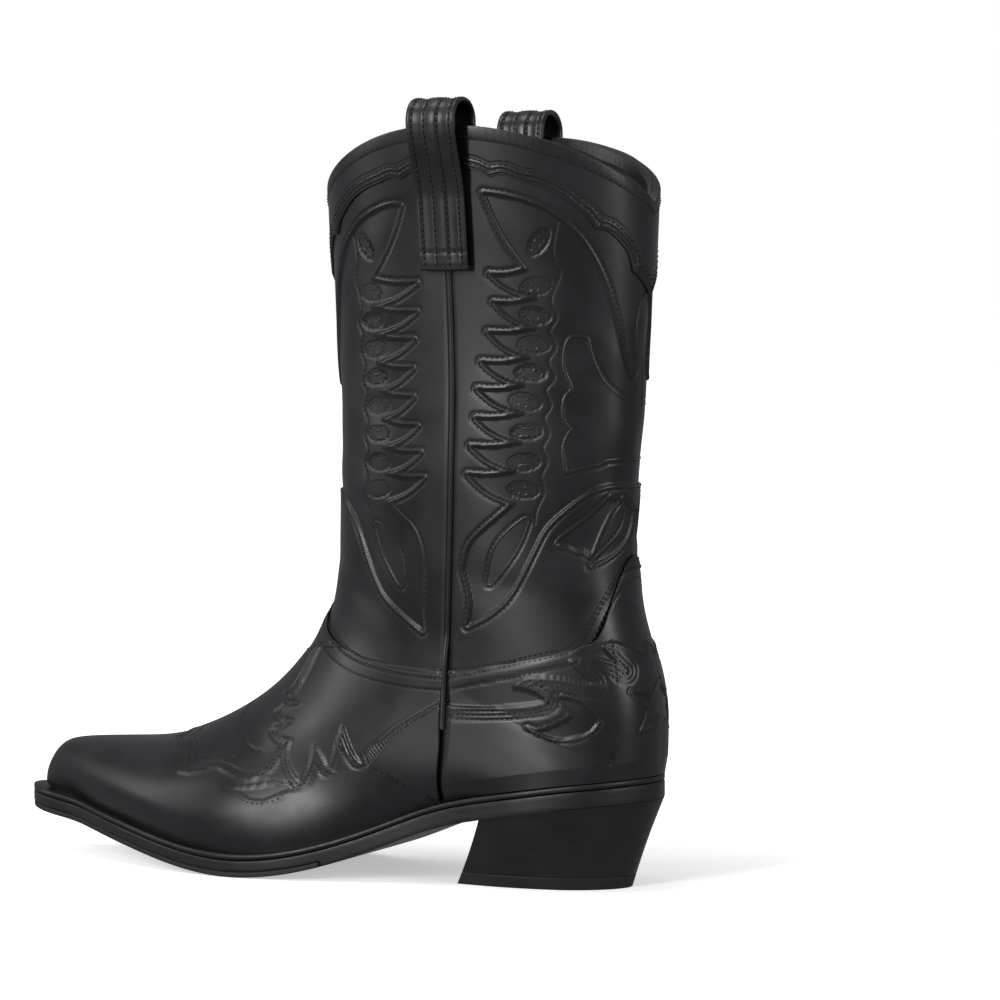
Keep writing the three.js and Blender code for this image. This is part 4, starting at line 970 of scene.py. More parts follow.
def heel_wrap(rows, cols, seam_gap, top_of, clear, turn):
    """Grid of the back pieces: down the last, then straight to the feather line."""
    t = both_sides(cols)
    top = top_stations("back", t, top_of(t), seam_gap)
    points = np.zeros((fours(rows) + 1, len(t), 3))
    normals = np.zeros_like(points)
    shares = np.ones(points.shape[:2])
    f = np.linspace(0, 1, fours(rows) + 1)
    upper = f <= turn + 1e-9
    for one in SIDES:
        m = np.flatnonzero(t < 0 if one < 0 else t >= 0)
        end = share_at_x(one, seam_x(feather_height(BREAST_FOOT)) + seam_gap)
        foot, low_a, low_v = above_feather(one, abs(t[m]) * end)
        seam = share_on_strip("back", one, np.ones(len(m)), low_v, seam_gap)
        own = (1 - low_a) / np.maximum(1 - seam, 1e-9)
        last = own[np.argmax(abs(t[m]))]
        share = np.where(abs(t[m]) == 1, 1, own / last)
        go = (f[upper] / turn)[:, None]
        tt = lerp(abs(t[m])[None, :], share[None, :], go)
        vv = lerp(top[m][None, :], low_v[None, :], go)
        a = share_on_strip("back", one, tt, vv, seam_gap)
        side = np.full(vv.shape, one)
        points[np.ix_(upper, m)] = surface(side, a, vv)
        shares[np.ix_(upper, m)] = a
        normals[np.ix_(upper, m)] = last_normal(side, a, vv)
        start = surface(np.full(len(m), one), a[-1], vv[-1])
        ground = np.stack([foot[:, 0], foot[:, 1], feather_height(foot[:, 0]) + clear], 1)
        flat = np.stack([foot[:, 2], foot[:, 3], np.zeros(len(m))], 1)
        rest = f[~upper]
        go = ((rest - turn) / (1 - turn))[:, None, None]
        points[np.ix_(~upper, m)] = lerp(start[None], ground[None], go)
        blend = np.clip(go * 6, 0, 1)
        at_turn = normals[np.flatnonzero(upper)[-1]][m]
        normals[np.ix_(~upper, m)] = unit(lerp(at_turn[None], flat[None], blend))
    return t, points, normals, shares


COUNTER_TURN, LINING_TURN = 13 / 16, 8 / 9     # share of the rows that lie on the last


def counter_leather():
    t, p, n, a = heel_wrap(128, 300, SEAM_HALF, counter_line, WELT_CLEAR, COUNTER_TURN)
    lift = np.zeros(p.shape[:2])
    for one in SIDES:
        m = np.broadcast_to(t < 0 if one < 0 else t >= 0, lift.shape)
        z = np.maximum(p[..., 2][m], 52)
        s = from_seam(one, a[m], z)
        lift[m] = counter_relief(one, s, z) * ramp(z, 56, 62)
    outer = p + n * (COVER_OUT + lift)[..., None]
    inner = p + n * COVER_IN
    return leather_shell("counter_leather", outer, inner)


# ---- stitching ------------------------------------------------------------------------------
STITCH = (0.92, 0.3, 0.28)       # half length, half width and half height of one waxed stitch


def stitch_mesh(name, centres, along_line, normals):
    """Every stitch is a short bar of thread with its two ends drawn down into the leather."""
    half, wide, high = STITCH
    rings = [(-1, 0, -0.9), (-.62, .85, .1), (0, 1, .35), (.62, .85, .1), (1, 0, -0.9)]
    across = unit(np.cross(normals, along_line))
    points, faces = [], []
    corners = [(1, 0), (0, 1), (-1, 0), (0, -1)]
    for c, t, n, b in zip(centres, along_line, normals, across):
        base = len(points)
        points.append(c + t * half * rings[0][0] + n * high * rings[0][2])
        for place, size, rise in rings[1:-1]:
            for y, z in corners:
                points.append(c + t * half * place + b * wide * size * y + n * high * (rise + size * z))
        points.append(c + t * half * rings[-1][0] + n * high * rings[-1][2])
        end = len(points) - 1
        for k in range(4):
            m = (k + 1) % 4
            faces.append([base, base + 1 + m, base + 1 + k])
            for r in (0, 1):
                q = base + 1 + 4 * r
                faces.append([q + k, q + m, q + 4 + m, q + 4 + k])
            faces.append([end, end - 4 + k, end - 4 + m])
    return mesh_object(name, points, faces)


def stitch_places(line):
    """The middle and the direction of every stitch along a line."""
    long = travelled(line)[-1]
    count = max(int(round(long / ROW_PITCH)), 1)
    want = (np.arange(count) + .5) * long / count
    at = at_distances(line, want)
    return at, unit(at_distances(line, np.minimum(want + .4, long)) - at + 1e-9)


def outward_row(outline, amount):
    """A row of stitching parallel to a closed outline: outside it, or inside when negative."""
    x, y = outline.T
    area = np.sum(x * np.roll(y, -1) - np.roll(x, -1) * y)
    return inset(outline, -amount if area > 0 else amount, closed=True)


def runs_of(points, gap=4.0):
    """Splits a thinned row of points where it jumps, so that stitches don't bridge the jump."""
    jump = np.flatnonzero(np.linalg.norm(np.diff(points, axis=0), axis=1) > gap) + 1
    return [r for r in np.split(points, jump) if len(r) > 2]


def sew(name, seams):
    """seams: (place, lines); place turns pattern points into skin points and normals."""
    centres, tangents, normals = [], [], []
    for place, lines in seams:
        for line in lines:
            for run in runs_of(line):
                at, ahead = stitch_places(run)
                here, n, keep = place(at)
                there, _, _ = place(at + ahead * 0.5)
                t = there - here
                size = np.linalg.norm(t, axis=1)
                keep = keep & (size > 0.2) & (size < 1.2)
                centres.append(here[keep])
                tangents.append(unit(t - n * np.sum(t * n, 1, keepdims=True))[keep])
                normals.append(n[keep])
    return stitch_mesh(name, np.vstack(centres), np.vstack(tangents), np.vstack(normals))


# each of these makes a place function: pattern points in, skin points, normals and a keep mask out
def on_shaft(side, where, offset=SHAFT_OUT, relief=True, top=BINDING + 1):
    def place(q):
        s, z = q[:, 0], q[:, 1]
        full = half_width(side, where, z)
        t = 1 - s / full
        line = vamp_line(t) if where == "front" else counter_line(t)
        keep = (s > SEAM_HALF + 1.2) & (s < full - 0.3) & (z < top_line(t) - top)
        keep &= z > line - 6
        a, v = on_level(side, where, s, z)
        sides = np.full(len(s), side)
        p, n = surface(sides, a, v), last_normal(sides, a, v)
        lift = offset + folds(side, where, s, z) + (shaft_relief(where, s, z) if relief else 0)
        return p + n * (lift + 0.1)[:, None], n, keep
    return place


def shaft_rows(where):
    rows = [outward_row(WING[where], EDGE_ROW)]
    rows += [outward_row(fan, EDGE_ROW) for fan in FAN[where]]
    rows += [outward_row(small, SMALL_ROW) for small in SMALL[where]]
    rows += [outward_row(LEAF[where], LEAF_ROW)] + QUILTING[where]
    rings = [eyelet(centre, tilt) for centre, tilt in EYELETS[where]]
    return rows + [np.vstack([ring, ring[:1]]) for ring in rings]


def edge_rows(where, line_of, side, drops):
    """Rows a set distance below a piece's top edge, from the side seam to the middle."""
    rows = []
    for drop in drops:
        s = np.linspace(SEAM_HALF, 128, 200)
        z = np.full(len(s), 100.0)
        for _ in range(6):
            t = np.clip(1 - s / half_width(side, where, z), 0, 1)
            z = line_of(t) - drop
        rows.append(np.stack([s, z], 1)[s < half_width(side, where, z)])
    return rows


def on_counter(side):
    def place(q):
        s, z = q[:, 0], np.maximum(q[:, 1], 52)
        full = half_width(side, "back", z)
        a, v = on_level(side, "back", s, z)
        sides = np.full(len(s), side)
        p, n = surface(sides, a, v), last_normal(sides, a, v)
        lift = COVER_OUT + counter_relief(side, s, z) * ramp(z, 56, 62)
        keep = (s > SEAM_HALF + 0.6) & (s < full - 0.2) & (counter_line(1 - s / full) - q[:, 1] > 1.5)
        return p + n * (lift + 0.1)[:, None], n, keep
    return place


def on_vamp_top(side):
    def place(q):
        s, z = q[:, 0], q[:, 1]
        a, v = on_level(side, "front", s, z)
        sides = np.full(len(s), side)
        p, n = surface(sides, a, v), last_normal(sides, a, v)
        below = vamp_line(1 - s / half_width(side, "front", z)) - z
        lift = COVER_OUT + seam_rows(below) - skived(below) + vamp_relief(p[:, 0], girth_at(side, a, v))
        return p + n * (lift + 0.1)[:, None], n, (s > SEAM_HALF + 0.6) & (v < 8.2)
    return place


def on_vamp(side, known):
    """Finds share and station from x and girth, starting at the nearest grid point."""
    p, sides, a, v = known
    own = np.flatnonzero(sides == side)[::5]
    g = girth_at(side, a[own], v[own])
    tree = KDTree(len(own))
    for k, m in enumerate(own):
        tree.insert((p[m, 0], g[k], 0), k)
    tree.balance()

    def place(q):
        hit = np.array([tree.find((x, y, 0))[1:3] for x, y in q])
        start = own[hit[:, 0].astype(int)]
        aa, vv = a[start].copy(), v[start].copy()
        one = np.full(len(q), side)
        e = 1e-3
        for _ in range(4):
            f0 = np.stack([surface(one, aa, vv)[:, 0], girth_at(side, aa, vv)], 1)
            fa = np.stack([surface(one, aa + e, vv)[:, 0], girth_at(side, aa + e, vv)], 1)
            fv = np.stack([surface(one, aa, vv + e)[:, 0], girth_at(side, aa, vv + e)], 1)
            ja, jv = (fa - f0) / e, (fv - f0) / e
            det = ja[:, 0] * jv[:, 1] - ja[:, 1] * jv[:, 0]
            det = np.where(abs(det) < 1e-6, 1e-6, det)
            miss = q - f0
            step_a = (miss[:, 0] * jv[:, 1] - miss[:, 1] * jv[:, 0]) / det
            step_v = (ja[:, 0] * miss[:, 1] - ja[:, 1] * miss[:, 0]) / det
            aa = np.clip(aa + np.clip(step_a, -.05, .05), 0, .995)
            vv = np.clip(vv + np.clip(step_v, -.5, .5), 5.6, TIP - .4)
        pt, n = surface(one, aa, vv), last_normal(one, aa, vv)
        lift = COVER_OUT + vamp_relief(q[:, 0], q[:, 1]) + 0.1
        miss = np.stack([pt[:, 0], girth_at(side, aa, vv)], 1) - q
        near = (hit[:, 1] < 4) & (np.linalg.norm(miss, axis=1) < .4)
        return pt + n * lift[:, None], n, near & (aa > 0.004)
    return place


# ---- collars, bindings, linings, piping -----------------------------------------------------
def collar_leather(where):
    t = both_sides(300)
    f = np.linspace(0, 1, fours(56) + 1)[:, None]
    low = np.zeros(len(t))
    top = top_line(t) - BINDING + 0.6
    for one in SIDES:
        m = (t < 0) if one < 0 else (t >= 0)
        z = np.full(m.sum(), 300.0)
        for _ in range(8):
            s = SEAM_HALF + (half_width(one, where, z) - SEAM_HALF) * (1 - abs(t[m]))
            z = np.interp(s, collar_edge[:, 0], collar_edge[:, 1])
        low[m] = np.minimum(z, top[m] - 3)
    z = lerp(top[None, :], low[None, :], f)
    grid_t = np.broadcast_to(t, z.shape)
    side, a, v, s = place_on_panel(where, grid_t, z)
    points = np.stack([s.ravel(), z.ravel()], 1)
    d = distance_to(points, collar_edge, reach=8).reshape(z.shape)
    lift = groove(d, EDGE_ROW) + groove(d, EDGE_ROW + PAIR) + 0.16 * np.exp(-((d - .8) / .6) ** 2) \
        - 0.5 * (1 - ramp(d, 0, .5))
    p, n = surface(side, a, v), last_normal(side, a, v)
    outer = p + n * (TRIM_OUT - 0.15 + lift)[..., None]
    inner = p + n * SHAFT_OUT
    return leather_shell(f"{where}_collar_leather", outer, inner)


def tube(name, loops):
    """A skin over a list of equal point loops, with a fan of faces at each end."""
    count, m = len(loops), len(loops[0])
    points = np.concatenate(loops)
    faces = []
    for k in range(count - 1):
        for e in range(m):
            f = (e + 1) % m
            faces.append([k * m + e, k * m + f, (k + 1) * m + f, (k + 1) * m + e])
    for cap in (list(range(m))[::-1], [(count - 1) * m + e for e in range(m)]):
        points = np.vstack([points, points[cap].mean(0)])
        hub = len(points) - 1
        faces += [[cap[e], cap[(e + 1) % m], hub] for e in range(m)]
    return mesh_object(name, points, facing_out(points, faces))


def rounded_profile(corners, radius, steps=4):
    """A closed outline with every corner rounded."""
    out = []
    n = len(corners)
    for k in range(n):
        p = np.array(corners[k], float)
        a, b = np.array(corners[k - 1], float) - p, np.array(corners[(k + 1) % n], float) - p
        r = min(radius, np.linalg.norm(a) * .45, np.linalg.norm(b) * .45)
        p0, p1 = p + unit(a) * r, p + unit(b) * r
        for f in np.linspace(0, 1, steps + 1):
            out.append((1 - f) ** 2 * p0 + 2 * f * (1 - f) * p + f * f * p1)
    return np.array(out)


BINDING_PROFILE = rounded_profile(
    [(BINDING, SHAFT_OUT + .1), (BINDING, TRIM_OUT + .1), (-GAP - TRIM, TRIM_OUT + .1),
     (-GAP - TRIM, LINING_IN - GAP - TRIM), (BINDING, LINING_IN - GAP - TRIM),
     (BINDING, LINING_IN - GAP + .2), (0.2, LINING_IN - GAP + .2), (0.2, SHAFT_OUT + .1)], 0.85)


def top_binding(where):
    t = np.linspace(-1, 1, 181)
    loops = np.zeros((len(t), len(BINDING_PROFILE), 3))
    for e, (depth, lift) in enumerate(BINDING_PROFILE):
        z = top_line(t) - depth
        side, a, v, s = place_on_panel(where, t, z)
        puff = 0.1 * np.sin(s * 1.9) * (abs(lift) > TRIM_OUT * .8)
        loops[:, e] = surface(side, a, v) + last_normal(side, a, v) * (lift + puff * .4)[:, None]
    return tube(f"{where}_top_binding", list(loops))


def side_piping(side):
    """A folded strip caught in the side seam; it stands proud as a narrow rounded bead."""
    z = np.concatenate([np.linspace(SHAFT_HEIGHT - BINDING - GAP, 62, 150), np.linspace(61, 38, 30)])
    v = seam_station(side, z, STATIONS[:760])
    seam = np.interp(v, STATIONS, SEAM[side])
    ok = seam < 0.985
    z, v, seam = z[ok], v[ok], seam[ok]
    one = np.full(len(v), side)
    e = 0.004
    across = unit(around(one, seam + e, v) - around(one, seam - e, v))
    p, n = surface(one, seam, v), last_normal(one, seam, v)
    lift = lerp(SHAFT_OUT, COVER_OUT, ramp(v, 4.9, 5.6))
    loops = []
    for k in range(len(v)):
        ring = []
        for angle in np.linspace(0, 2 * np.pi, 12, endpoint=False):
            w, h = math.cos(angle) * 1.25, math.sin(angle) * (1.35 if angle < math.pi else 1.0)
            ring.append(p[k] + across[k] * w + n[k] * (lift[k] - .5 + h))
        loops.append(np.array(ring))
    return tube(f"side_piping_{'outer' if side < 0 else 'inner'}_bead", loops)


def front_lining():
    side, a, v = vamp_grid(130, 120, GAP / 2, lambda t: top_line(t) - 0.2, TIP - 1.3, 2.6)
    p, n = surface(side, a, v), last_normal(side, a, v)
    room = 1.1 * ramp(v, 12.2, 12.8)
    return leather_shell("front_lining_leather", p + n * (LINING_OUT - room)[..., None],
                         p + n * (LINING_IN - room)[..., None])


def back_lining():
    _, p, n, _ = heel_wrap(144, 120, GAP / 2, lambda t: top_line(t) - 0.2, 2.6, LINING_TURN)
    room = 1.1 * ramp(np.linspace(0, 1, len(p)), .74, .8)[:, None, None]
    return leather_shell("back_lining_leather", p + n * (LINING_OUT - room), p + n * (LINING_IN - room))


# ---- pull straps ----------------------------------------------------------------------------
def pull_strap(side):
    word = "outer" if side < 0 else "inner"

    def across_y(z):
        v = seam_station(side, z, STATIONS[:600])
        return surface(np.array([side]), np.interp(v, STATIONS, SEAM[side]), np.array([v]))[0, 1] * side

    def away(z):
        return STRAP_THICK / 2 + STRAP_BOW * ramp(z, SHAFT_HEIGHT - .5 * STRAP_DROP, SHAFT_HEIGHT)

    def outer_y(z):
        return across_y(z) + TRIM_OUT + .8 + GAP + away(z)

    def inner_y(z):
        return across_y(z) + LINING_IN - 4 * GAP - away(z)
    arch = SHAFT_HEIGHT + 2
    mid = [(outer_y(z), z) for z in np.linspace(SHAFT_HEIGHT - STRAP_DROP, arch, 70)]
    yo, yi = outer_y(arch), inner_y(arch)
    rise = STRAP_RISE - STRAP_THICK / 2 - 2
    for angle in np.linspace(0, math.pi, 40)[1:-1]:
        mid.append((lerp(yo, yi, (1 - math.cos(angle)) / 2), arch + rise * math.sin(angle) ** .8))
    mid += [(inner_y(z), z) for z in np.linspace(arch, SHAFT_HEIGHT - STRAP_DROP, 70)]
    mid = np.array(mid)
    d = np.gradient(mid, axis=0)
    d /= np.linalg.norm(d, axis=1, keepdims=True)
    normal = np.stack([d[:, 1], -d[:, 0]], 1)
    travel = travelled(mid)
    # across the strap: two bound edges, three rows of stitching and a rib between each pair
    u = np.linspace(-1, 1, 61) * STRAP_WIDTH / 2
    rib = .32 * np.cos(u / STRAP_WIDTH * 2 * np.pi * 2) + .12
    near_edge = ((abs(u) - STRAP_WIDTH / 2 + 1.2) / 1.2).clip(0, 1)
    round_edge = -.9 * (1 - np.sqrt(1 - near_edge ** 2))
    rows = [-8.8, -3.1, 3.1, 8.8]
    cuts = sum(groove(u, r, .34, .5) for r in rows)
    face = STRAP_THICK / 2 - .3 + rib + cuts + round_edge
    back = -(STRAP_THICK / 2 - .15 + round_edge)
    centre_x = float(seam_x(SHAFT_HEIGHT))
    loops = []
    for k in range(len(mid)):
        flat = ramp(travel[k], 0, 9) * ramp(travel[-1] - travel[k], 0, 9)
        h = lerp(STRAP_THICK / 2 - .25 + round_edge, face, flat)
        ends = np.minimum(travel[k], travel[-1] - travel[k])
        h = h + float(groove(ends, 2.0, .3) + groove(ends, 8.2, .3)) - .6 * float(1 - ramp(ends, 0, .9))
        # the whole of the face, then every third point of the back
        loop = [(centre_x + x, side * (mid[k, 0] + normal[k, 0] * o), mid[k, 1] + normal[k, 1] * o)
                for x, o in [*zip(u, h), *zip(u[::-3], back[::-3])]]
        loops.append(np.array(loop))
    strap = tube(f"pull_strap_{word}_leather", loops)
    centres, tangents, normals = [], [], []

    def add(x, at, lengthwise):
        y, z = np.interp(at, travel, mid[:, 0]), np.interp(at, travel, mid[:, 1])
        ny, nz = np.interp(at, travel, normal[:, 0]), np.interp(at, travel, normal[:, 1])
        ty, tz = np.interp(at, travel, d[:, 0]), np.interp(at, travel, d[:, 1])
        lift = STRAP_THICK / 2 - .18
        centres.append((centre_x + x, side * (y + ny * lift), z + nz * lift))
        tangents.append((0, side * ty, tz) if lengthwise else (1, 0, 0))
        normals.append((0, side * ny, nz))
    for x in rows:
        for at in np.arange(3.2, travel[-1] - 3, ROW_PITCH):
            add(x, at, True)
    for end in (2.0, 8.2):
        for x in np.arange(-STRAP_WIDTH / 2 + 2.6, STRAP_WIDTH / 2 - 2, ROW_PITCH):
            add(x, end, False)
            add(x, travel[-1] - end, False)
    thread = stitch_mesh(f"pull_strap_{word}_stitching", np.array(centres), unit(np.array(tangents)),
                         unit(np.array(normals)))
    return strap, thread


# ---- welt, soles and heel -------------------------------------------------------------------
WELT_REACH = {"heel": 1.6, "side": 4.6, "toe": 9.0}
RUBBER_FROM = -92.0


def reach_at(share):
    """How far the welt stands out past the feather line."""
    return lerp(lerp(WELT_REACH["heel"], WELT_REACH["side"], ramp(share, .14, .34)), WELT_REACH["toe"],
                ramp(share, .9, 1))


def edge_point(side, share, reach):
    x, y, ox, oy = feather[side](share)
    return np.stack([x + ox * reach, y + oy * reach], -1)


def rungs_between(start, end, count):
    """Shares that crowd together at both ends, where the outline turns."""
    return lerp(start, end, (1 - np.cos(np.linspace(0, np.pi, count))) / 2)


def sole_layer(name, shares, reach, top_of, low_of, round_over=0.7):
    """A layer with its two long edges rounded over, laid rung by rung from back to front."""
    loops = []
    steps = 5
    for k in range(len(shares[-1])):
        loop = []
        for side in SIDES:
            s = shares[side][k]
            r = reach(s) if callable(reach) else reach
            x = edge_point(side, s, r)[0]
            top, low = top_of(x), low_of(x)
            rr = min(round_over, (top - low) * .45)
            part = []
            corner = np.linspace(0, np.pi / 2, steps)
            for c in corner:
                part.append((rr - rr * math.sin(c), low + rr - rr * math.cos(c)))
            for f in np.linspace(0, 1, 5)[1:-1]:
                part.append((0, lerp(low + rr, top - rr, f)))
            for c in corner[::-1]:
                part.append((rr - rr * math.sin(c), top - rr + rr * math.cos(c)))
            ring = []
            for inn, z in part:
                px, py = edge_point(side, s, r - inn)
                ring.append((px, py, z))
            loop += ring if side < 0 else ring[::-1]
        loops.append(np.array(loop))
    return tube(name, loops)


OUTSOLE_TOP = WELT + 1.5 * GAP
OUTSOLE_LOW = OUTSOLE_TOP + OUTSOLE
HALF_SOLE_TOP = OUTSOLE_LOW - RUBBER


def side_shares(start_x, end, reach, count):
    """Rungs of a layer from start_x to a share of the outline."""
    tries = np.linspace(.02, .985, 900)
    starts = {side: np.interp(-start_x, -edge_point(side, tries, reach)[:, 0], tries) for side in SIDES}
    return {side: rungs_between(float(starts[side]), end, count) for side in SIDES}


def whole_sole(reach, count=120):
    """Rungs of the outsole, with a close pair where the half sole begins."""
    middle = side_shares(RUBBER_FROM, 0, reach, count // 2)
    front = side_shares(RUBBER_FROM - 1.2, 1, reach, count // 2)
    return {s: np.concatenate([middle[s][::-1], front[s]]) for s in (-1, 1)}


def welt_strip():
    """The welt is a ring: it carries the upper's edge and shows as a ledge round it."""
    inset_by, loops = 7.0, []
    shares = {-1: rungs_between(0, 1, 110), 1: rungs_between(1, 0, 110)}
    profile = rounded_profile([(0, -WELT), (1, -WELT), (1, 0), (0, 0)], 0.45, 3)
    for side in SIDES:
        for s in shares[side][(1 if side > 0 else 0):(-1 if side > 0 else None)]:
            out = edge_point(side, s, reach_at(s))
            x, y, ox, oy = feather[side](s * .96)
            inn = np.array([x - ox * min(inset_by, abs(y) + inset_by * (s < .5)) * .9,
                            y - oy * min(inset_by, abs(y) * .5)])
            across = [lerp(inn, out, f) for f, _ in profile]
            loop = [(q[0], q[1], feather_height(q[0]) + h) for q, (_, h) in zip(across, profile)]
            loops.append(np.array(loop))
    count, m = len(loops), len(profile)
    faces = []
    for k in range(count):
        here, ahead = k * m, (k + 1) % count * m
        faces += [[here + e, here + (e + 1) % m, ahead + (e + 1) % m, ahead + e] for e in range(m)]
    points = np.concatenate(loops)
    return mesh_object("welt_ledge", points, facing_out(points, faces))


HEEL_REACH = WELT_REACH["heel"] - GAP
HEEL_BACK_TOP = HEEL_BACK + HEEL_REACH


def under_sole(x):
    """Height of the top of the heel stack at x."""
    return feather_height(x) - OUTSOLE_LOW - GAP


HEEL_RUNGS = 64


def heel_layer(name, low_of, top_of, round_over):
    """A layer of the stack: each rung runs from the outer side to the inner one. The stack
    narrows to the ground, and its back and breast slope with it."""
    shares = side_shares(BREAST_TOP, 0, HEEL_REACH, HEEL_RUNGS)

    def at(side, k, z, draw_in=0.0):
        x, y = edge_point(side, shares[side][k], HEEL_REACH - draw_in)
        height = under_sole(x)
        foot_x = lerp(BREAST_FOOT, HEEL_BACK_FOOT, (x - BREAST_TOP) / (HEEL_BACK_TOP - BREAST_TOP))
        foot_y = y * HEEL_FOOT_WIDTH / (SEAT_WIDTH + 2 * HEEL_REACH)
        f = z / height
        curve = .6 * math.sin(math.pi * min(max(f, 0), 1))       # the stack is dished a little
        dish = curve * .8 if x < 0 else -curve
        return lerp(foot_x, x, f) + dish, lerp(foot_y, y, f) * (1 - curve * .012), z
    loops = []
    for k in range(HEEL_RUNGS):
        loop = []
        for side in SIDES:
            x, _ = edge_point(side, shares[side][k], HEEL_REACH)
            height = under_sole(x)
            low, top = low_of(height), top_of(height)
            r = min(round_over, (top - low) * .4)
            ring = []
            for c in np.linspace(0, np.pi / 2, 4):
                ring.append(at(side, k, low + r - r * math.cos(c), r - r * math.sin(c)))
            for f in np.linspace(0, 1, 5)[1:-1]:
                ring.append(at(side, k, lerp(low + r, top - r, f)))
            for c in np.linspace(np.pi / 2, 0, 4):
                ring.append(at(side, k, top - r + r * math.cos(c), r - r * math.sin(c)))
            loop += ring if side < 0 else ring[::-1]
        loops.append(np.array(loop))
    return tube(name, loops)


# ---- finishes -------------------------------------------------------------------------------
def colour(value):
    """An sRGB hex colour as linear RGBA."""
    parts = [int(value[k:k + 2], 16) / 255 for k in (1, 3, 5)]
    return [c / 12.92 if c <= .04045 else ((c + .055) / 1.055) ** 2.4 for c in parts] + [1.0]


def node(tree, kind, links=(), **settings):
    """Adds a node, sets its named properties or sockets, and links into it."""
    made = tree.nodes.new(kind)
    for key, value in settings.items():
        key = key.replace("__", " ")
        if key in made.inputs:
            made.inputs[key].default_value = value
        else:
            setattr(made, key, value)
    for source, target in links:
        tree.links.new(source, made.inputs[target])
    return made


def finish(name, **values):
    """A material with a Principled shader, ready for its pattern."""
    material = bpy.data.materials.new(name)
    material.use_nodes = True
    tree = material.node_tree
    shader = tree.nodes["Principled BSDF"]
    for key, value in values.items():
        shader.inputs[key.replace("__", " ")].default_value = value
    where = node(tree, "ShaderNodeTexCoord").outputs["Object"]
    return material, tree, shader, where


def per_mm(size):
    """Texture scale whose features are about size millimetres across."""
    return 1 / (size * MM)


def mottled(tree, where, size, detail=4.0):
    """Soft patches about size millimetres across."""
    cloud = node(tree, "ShaderNodeTexNoise", [(where, "Vector")], Scale=per_mm(size), Detail=detail)
    return cloud.outputs["Fac"]


def blend_colours(tree, factor, low, high, a=.35, b=.65):
    ramp_node = node(tree, "ShaderNodeValToRGB", [(factor, "Fac")])
    ramp_node.color_ramp.elements[0].position, ramp_node.color_ramp.elements[0].color = a, colour(low)
    ramp_node.color_ramp.elements[1].position, ramp_node.color_ramp.elements[1].color = b, colour(high)
    return ramp_node.outputs["Color"]


def spread_value(tree, factor, low, high, a=.3, b=.7):
    return node(tree, "ShaderNodeMapRange", [(factor, "Value")], **{"From__Min": a, "From__Max": b,
                "To__Min": low, "To__Max": high}).outputs["Result"]


def bumped(tree, shader, *layers):
    """layers: (height, strength, millimetres)."""
    normal = None
    for height, strength, distance in layers:
        links = [(height, "Height")] + ([(normal, "Normal")] if normal else [])
        bump = node(tree, "ShaderNodeBump", links, Strength=strength, Distance=distance * MM)
        normal = bump.outputs["Normal"]
    tree.links.new(normal, shader.inputs["Normal"])


def calf_black():
    """Smooth box calf: a deep black with a soft waxed gloss, pores under a millimetre apart and
    slightly duller, greyer patches where the hide was rubbed over the last."""
    material, tree, shader, where = finish("black calf, aniline dyed and waxed", IOR=1.47, Coat__Weight=.12,
                                           Coat__Roughness=.28)
    rubbed = mottled(tree, where, 26)
    pores = node(tree, "ShaderNodeTexVoronoi", [(where, "Vector")], Scale=per_mm(.9))
    grain = mottled(tree, where, 1.6, 6)
    tree.links.new(blend_colours(tree, rubbed, "#0c0c0e", "#18181b"), shader.inputs["Base Color"])
    tree.links.new(spread_value(tree, rubbed, .3, .46), shader.inputs["Roughness"])
    # the true pores are 0.2 mm; they are drawn at 0.9 mm so that they show at all
    bumped(tree, shader, (rubbed, .22, .5), (grain, .12, .12), (pores.outputs["Distance"], .1, .07))
    return material


def thread_black():
    """Bonded nylon thread, waxed: blacker than the leather and a little shinier, with a twist."""
    material, tree, shader, where = finish("black waxed nylon thread, twisted", IOR=1.53)
    wave = node(tree, "ShaderNodeTexWave", [(where, "Vector")], Scale=per_mm(.5) / 6, Distortion=2.0)
    twist = wave.outputs["Fac"]
    tree.links.new(blend_colours(tree, twist, "#050506", "#101012"), shader.inputs["Base Color"])
    tree.links.new(spread_value(tree, twist, .42, .55), shader.inputs["Roughness"])
    return material


def sole_leather(name, size):
    """Sole leather with fine lines along its fibres, under black ink; returns the ink's colour too."""
    material, tree, shader, where = finish(name, IOR=1.5)
    lengthwise = node(tree, "ShaderNodeMapping", [(where, "Vector")], Scale=(.12, .12, 1.0))
    fibres = mottled(tree, lengthwise.outputs["Vector"], 1.1, 5)
    patches = mottled(tree, where, size)
    ink = blend_colours(tree, patches, "#0b0b0c", "#161617")
    tree.links.new(spread_value(tree, fibres, .34, .5), shader.inputs["Roughness"])
    bumped(tree, shader, (fibres, .2, .15))
    return material, tree, shader, patches, ink


def dressed_edge():
    """Sole leather edges, inked black and burnished with wax: a satin face with fine lines along
    the fibres."""
    material, tree, shader, _, ink = sole_leather("sole leather, edge inked and burnished", 18)
    tree.links.new(ink, shader.inputs["Base Color"])
    return material


def dressed_sole():
    """The same leather, whose underside is stained reddish brown in the waist."""
    material, tree, shader, patches, ink = sole_leather("sole leather, inked edge and stained waist", 14)
    face = node(tree, "ShaderNodeNewGeometry").outputs["Normal"]
    down = node(tree, "ShaderNodeSeparateXYZ", [(face, "Vector")]).outputs["Z"]
    under = spread_value(tree, down, 1.0, 0.0, -.85, -.55)
    stain = blend_colours(tree, patches, "#3a1d14", "#56301f")
    mixed = node(tree, "ShaderNodeMix", data_type="RGBA")
    for source, target in ((under, 0), (ink, 6), (stain, 7)):
        tree.links.new(source, mixed.inputs[target])
    tree.links.new(mixed.outputs[2], shader.inputs["Base Color"])
    return material


